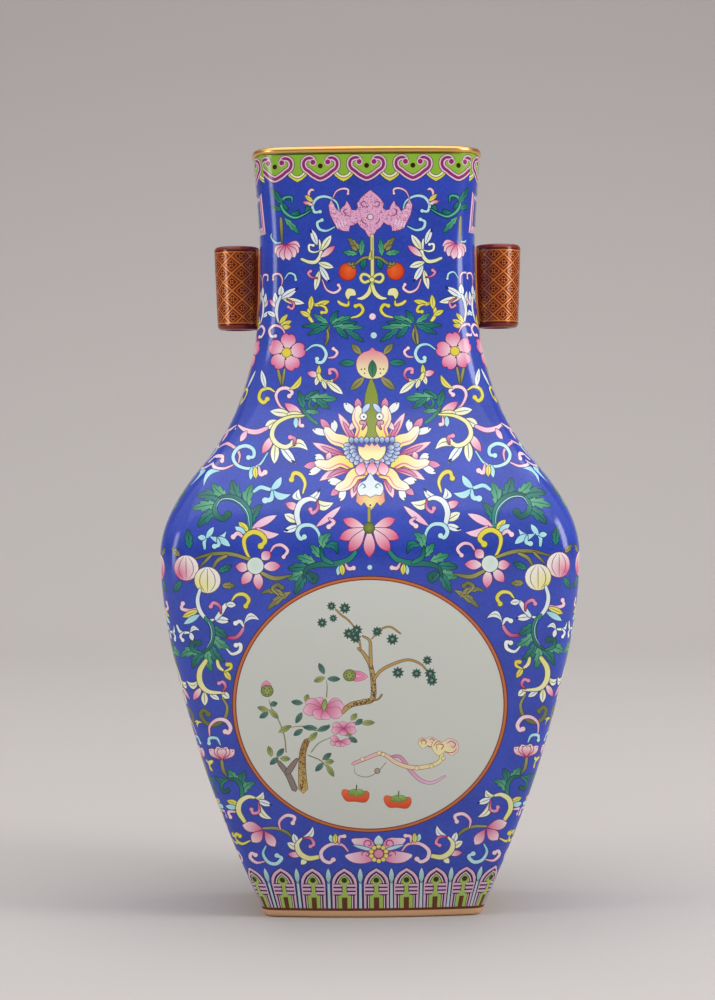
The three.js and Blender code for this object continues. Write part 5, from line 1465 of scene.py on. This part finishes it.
# The picture on the back is the plainer one: a leaning tree and peonies.
def backPicture():
    return placed(panelTree() + panelFlowers(), -1.0, 0, flip=True)


rimLevel = 294.1
scrolls = neckPainting() + rimBorder(rimLevel, 18.1, 5) + shoulderPainting() + lowerPainting()
feet = fannedIn(footBorder(4, 12.45, 11.75, 1.4), True)
frontPainting = scrolls + panelGround() + panelPicture() + feet
backPainting = scrolls + panelGround() + backPicture() + feet
sidePainting = sideComposition() + rimBorder(rimLevel, 17.2, 3) + fannedIn(footBorder(3, 12, 12, 0), False)


# The painted body: one drawing for each face, meeting halfway round the corners.
def faceOutline(wide, low, high):
    z = np.linspace(low, high, 160)
    reach = faceReach(z, wide)
    return np.vstack([np.stack([reach, z], -1), np.stack([-reach, z], -1)[::-1]])


def faceGrid(wide, low, high, spacing=2.4):
    rows = []
    for z in np.arange(low + spacing / 2, high, spacing):
        reach = float(faceReach(z, wide))
        curved = 10
        flat = reach - curved
        towardsCorner = np.arange(0.6, curved - 0.5, 1.1)
        across = np.concatenate(
            [np.linspace(-flat, flat, int(2 * flat / spacing)), reach - towardsCorner, towardsCorner - reach]
        )
        rows.append(np.column_stack([across, np.full(len(across), z)]))
    return np.vstack(rows)


groundBlue = "#3249b6"


def dressFace(name, shapes, wide, turned):
    low, high = footBand, body["z"][-1]
    sign = -1 if turned else 1
    where = lambda u, z: bodyPoint(u, z, wide) * [sign, sign, 1]
    made = paintedSurface(
        name,
        shapes,
        faceOutline(wide, low, high),
        faceGrid(wide, low, high),
        where,
        [groundEnamel, roseEnamels, gilding],
        ground=groundBlue,
    )
    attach(made, "root")
    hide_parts("vase")
    return made


footBand = 3
dressFace("painted_front", frontPainting, True, False)
dressFace("painted_back", backPainting, True, True)
dressFace("painted_right_side", sidePainting, False, False)
dressFace("painted_left_side", sidePainting, False, True)


def plainPart(made):
    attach(made, "root")
    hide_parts("vase")


# The gilded lip, rounded.
lipHeight = float(body["z"][-1])
lipRise = body["lipDepth"] * body["lipRiseShare"]
lipRings = []
for degrees in (-56, -40, -20, 0, 15, 30, 45, 60, 75, 90, 105, 120, 135, 150, 165, 180):
    angle = math.radians(degrees)
    across = (body["wall"] - body["lipRoll"]) / 2 - (body["wall"] + body["lipRoll"]) / 2 * math.cos(angle)
    height = body["height"] - lipRise + lipRise * math.sin(angle)
    lipRings.append(bodyRing(lipHeight, across) * [1, 1, 0] + [0, 0, height])
plainPart(ringSurface("gilded_lip", lipRings, gilding))

# Iron red: a thin, warm brown-red with a glassy skin. Worn gold over it: half shine, half warm colour.
# Pale gilding is rubbed thinner, so that the foot shows it lighter and duller.
ironRedEnamel, tree, shader = newMaterial("ironRedEnamel", "#801c04", 0.25, IOR=1.5)
wornGilding, tree, shader = newMaterial("wornGilding", "#dc8c42", 0.36, Metallic=0.5)
paleGilding, tree, shader = newMaterial("paleGilding", "#ecc094", 0.4, Metallic=0.5)


# The gilded edge of the foot, which carries the slope of the wall down to the table.
def footRing(away, height):
    slope = float(body["flare"][0])
    down = slope * (footBand - height) / math.hypot(1, slope)
    return bodyRing(footBand, down + away) * [1, 1, 0] + [0, 0, height]


footRings = []
# In from the wall and up from the table, round the foot's edge
footEdge = ((1.5, 0), (1.0, 0.12), (0.45, 0.45), (0.12, 1.0), (0.0, 1.5), (0.0, 2.2), (0.0, 3.0))
for away, height in footEdge:
    footRings.append(footRing(away, height))
plainPart(ringSurface("gilded_foot", footRings, paleGilding))

# Under the foot: the standing ring and the recessed base.
baseRings = [footRing(body["footRimWidth"], 0) + [0, 0, body["footRecess"]],
    footRing(body["footRimWidth"], 0)]
baseRings.append(footRing(body["footRounding"], 0))
base = ringSurface("glazed_underside", baseRings[::-1], clearGlaze, capped=True)
base.data.flip_normals()
plainPart(base)

# The glazed inside, from the lip down to the floor.
insideRings = [bodyRing(lipHeight, body["wall"]) * [1, 1, 0] + [0, 0, body["height"] - lipRise]]
for z in np.linspace(lipHeight - 2, body["floorTop"] + body["floorFillet"], 90):
    insideRings.append(bodyRing(z, body["wall"]))
for turn in np.linspace(0, np.pi / 2, 8)[1:]:
    z = body["floorTop"] + body["floorFillet"] * (1 - math.sin(turn))
    insideRings.append(bodyRing(z, body["wall"] + body["floorFillet"] * (1 - math.cos(turn))))
plainPart(ringSurface("glazed_inside", insideRings, clearGlaze, capped=True))
print("body done", flush=True)


# A place on a handle's tube, which narrows downwards. u runs round it from its outer side.
def tubePoint(u, z, side, thinner=0.0):
    share = (z - (handle["top"] - handle["length"])) / handle["length"]
    size = handle["narrowing"] + (1 - handle["narrowing"]) * share
    reach = handle["bottomReach"] + (handle["topReach"] - handle["bottomReach"]) * share
    angle = u / handle["meanRadius"]
    x = reach - handle["halfWidth"] * size + (handle["halfWidth"] * size - thinner) * np.cos(angle)
    y = (handle["halfDepth"] * size - thinner) * np.sin(angle)
    return np.stack([side * x, side * y, z + 0 * x], -1)


def dressHandle(name, side):
    top, bottom = handle["top"], handle["top"] - handle["length"]
    around = math.pi * handle["meanRadius"]
    facets = 72
    low, high = bottom + handle["edge"], top - handle["edge"]
    outline = [(-around, low), (around, low), (around, high), (-around, high)]
    across, up = np.meshgrid(np.linspace(-around, around, facets), np.linspace(low, high, 12))
    grid = np.column_stack([across.ravel(), up.ravel()])
    made = paintedSurface(
        name,
        handleLattice(low, high),
        np.array(outline),
        grid,
        lambda u, z: tubePoint(u, z, side),
        [ironRedEnamel, roseEnamels, wornGilding],
        gilt=(handle["gold"],),
        ground=handle["red"],
    )
    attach(made, "root")
    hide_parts("vase")
    turns = np.linspace(-around, around, facets, endpoint=False)
    ring = lambda z, thinner: tubePoint(turns, np.full(facets, float(z)), side, thinner)
    soft = handle["edge"]
    rims = []
    for z, away in ((high, 0), (top - soft * 0.6, soft * 0.12), (top - soft * 0.25, soft * 0.38),
        (top - soft * 0.05, soft * 0.75), (top, soft * 1.2)):
        rims.append((z, away))
    boreRings = [ring(z, a) for z, a in rims] + [ring(top, handle["wall"] - 0.3),
        ring(top - 0.4, handle["wall"])]
    boreRings += [ring(z, handle["wall"]) for z in np.linspace(top - 3, bottom + 3, 8)]
    boreRings += [ring(bottom + 0.4, handle["wall"]), ring(bottom, handle["wall"] - 0.3)]
    boreRings += [ring(top + bottom - z, a) for z, a in rims[::-1]]
    plainPart(ringSurface(name + "_ends", boreRings, ironRedEnamel))
    deep = handle["lutingHalfDepth"]
    for part, outer, proud, material in (("luting", handle["lutingReach"], 0, ironRedEnamel),
        ("gold_line", handle["lineReach"], handle["lineProud"], wornGilding)):
        rings = []
        for z in np.linspace(bottom + handle["lutingMargin"], top - handle["lutingMargin"], 9):
            less = 0.6 if abs(z - (top + bottom) / 2) > handle["length"] / 2 - 1.5 else 0
            back, front = deep - less + proud, deep - less + proud + 0.4
            wall = float(sectionAt(z)[0])
            corners = [(wall - 1, -back), (wall + outer, -front), (wall + outer, front), (wall - 1, back)]
            rings.append([(side * x, side * y, z) for x, y in corners])
        plainPart(ringSurface(f"{name}_{part}", rings, material, capped=True, closed=True))


dressHandle("right_handle", 1)
dressHandle("left_handle", -1)
print("handles done", flush=True)

# The studio: a grey paper sweep, coloured a little darker higher up as painted shade, with a broad light
# above the vase, one above the backdrop and a soft box on each side, the stronger one on the right.
backdropPaper, tree, shader = newMaterial("greyBackdropPaper", "#ffffff", 0.9)
spot = addNode(tree, "ShaderNodeTexCoord")
parts = addNode(tree, "ShaderNodeSeparateXYZ", {"Vector": spot.outputs["Object"]})
height = addNode(tree, "ShaderNodeMapRange", {"Value": parts.outputs["Z"], "From Min": 0.0, "From Max": 0.7})
# Painted shade: the paper's colour darkens from the floor up to 0.7 m, where less light falls on the wall.
paperWithPaintedShade = addNode(tree, "ShaderNodeMix", {0: height.outputs["Result"]}, data_type="RGBA")
paperWithPaintedShade.inputs[6].default_value = (*linear("#c2bdba"), 1)
paperWithPaintedShade.inputs[7].default_value = (*linear("#b6b0ae"), 1)
tree.links.new(paperWithPaintedShade.outputs[2], shader.inputs["Base Color"])


def studioSweep():
    sweep = {"front": -2.5, "back": 1.2, "bend": 0.9, "top": 3.5, "half": 4.0}
    turns = np.linspace(0, np.pi / 2, 24)
    line = [(sweep["front"], 0.0), (sweep["back"] - 0.01, 0.0)]
    line += [(sweep["back"] + sweep["bend"] * math.sin(t), sweep["bend"] * (1 - math.cos(t))) for t in turns]
    line += [(sweep["back"] + sweep["bend"], sweep["top"])]
    points = [(s * sweep["half"], y, z) for y, z in line for s in (-1, 1)]
    faces = [(2 * i, 2 * i + 1, 2 * i + 3, 2 * i + 2) for i in range(len(line) - 1)]
    mesh = bpy.data.meshes.new("studio_sweep")
    mesh.from_pydata(points, [], faces)
    mesh.materials.append(backdropPaper)
    mesh.polygons.foreach_set("use_smooth", np.ones(len(faces), bool))
    made = bpy.data.objects.new("studio_sweep", mesh)
    bpy.context.scene.collection.objects.link(made)


studioSweep()


def softBox(name, place, target, width, height, power, colour="#ffffff"):
    light = bpy.data.lights.new(name, "AREA")
    light.shape = "RECTANGLE"
    light.size, light.size_y = width, height
    light.energy = power
    light.color = linear(colour)
    made = bpy.data.objects.new(name, light)
    made.location = place
    made.rotation_euler = (Vector(target) - Vector(place)).to_track_quat("-Z", "Y").to_euler()
    bpy.context.scene.collection.objects.link(made)


softBox("overhead", (0, -0.4, 1.9), (0, 0.1, 0), 2.4, 1.8, 12)
softBox("backdrop_light", (0, 0.95, 2.1), (0, 1.25, 0.1), 2.6, 0.7, 12)
softBox("left_box", (-1.25, -0.6, 0.45), (0, 0, 0.2), 0.35, 0.9, 5)
softBox("right_box", (1.3, -0.6, 0.75), (0, 0, 0.18), 0.5, 1.0, 12)

# The air of the room: bright overhead, dim towards the horizon.
world = bpy.data.worlds.new("studioAir")
bpy.context.scene.world = world
world.use_nodes = True
air = world.node_tree.nodes["Background"]
air.inputs["Color"].default_value = (*linear("#eceaec"), 1)
heading = addNode(world.node_tree, "ShaderNodeTexCoord")
upward = addNode(world.node_tree, "ShaderNodeSeparateXYZ", {"Vector": heading.outputs["Generated"]})
glow = addNode(
    world.node_tree, "ShaderNodeMapRange",
    {"Value": upward.outputs["Z"], "From Min": 0.05, "From Max": 0.9, "To Min": 0.13, "To Max": 0.95},
    interpolation_type="SMOOTHSTEP",
)
world.node_tree.links.new(glow.outputs["Result"], air.inputs["Strength"])

# The camera, level with the vase's shoulder and turned with the photograph's slight lean.
view = {"distance": 0.968, "height": 0.1849, "lens": 86.4, "shiftX": -0.0115, "shiftY": -0.055, "lean": 0.49}
lens = bpy.data.cameras.new("studio_camera")
lens.lens = view["lens"]
lens.shift_x, lens.shift_y = view["shiftX"], view["shiftY"]
camera = bpy.data.objects.new("studio_camera", lens)
camera.location = (0, -view["distance"], view["height"])
camera.rotation_euler = (math.pi / 2, 0, 0)
camera.rotation_euler.rotate_axis("Z", -math.radians(view["lean"]))
bpy.context.scene.collection.objects.link(camera)
bpy.context.scene.camera = camera
bpy.context.scene.view_settings.view_transform = "Standard"
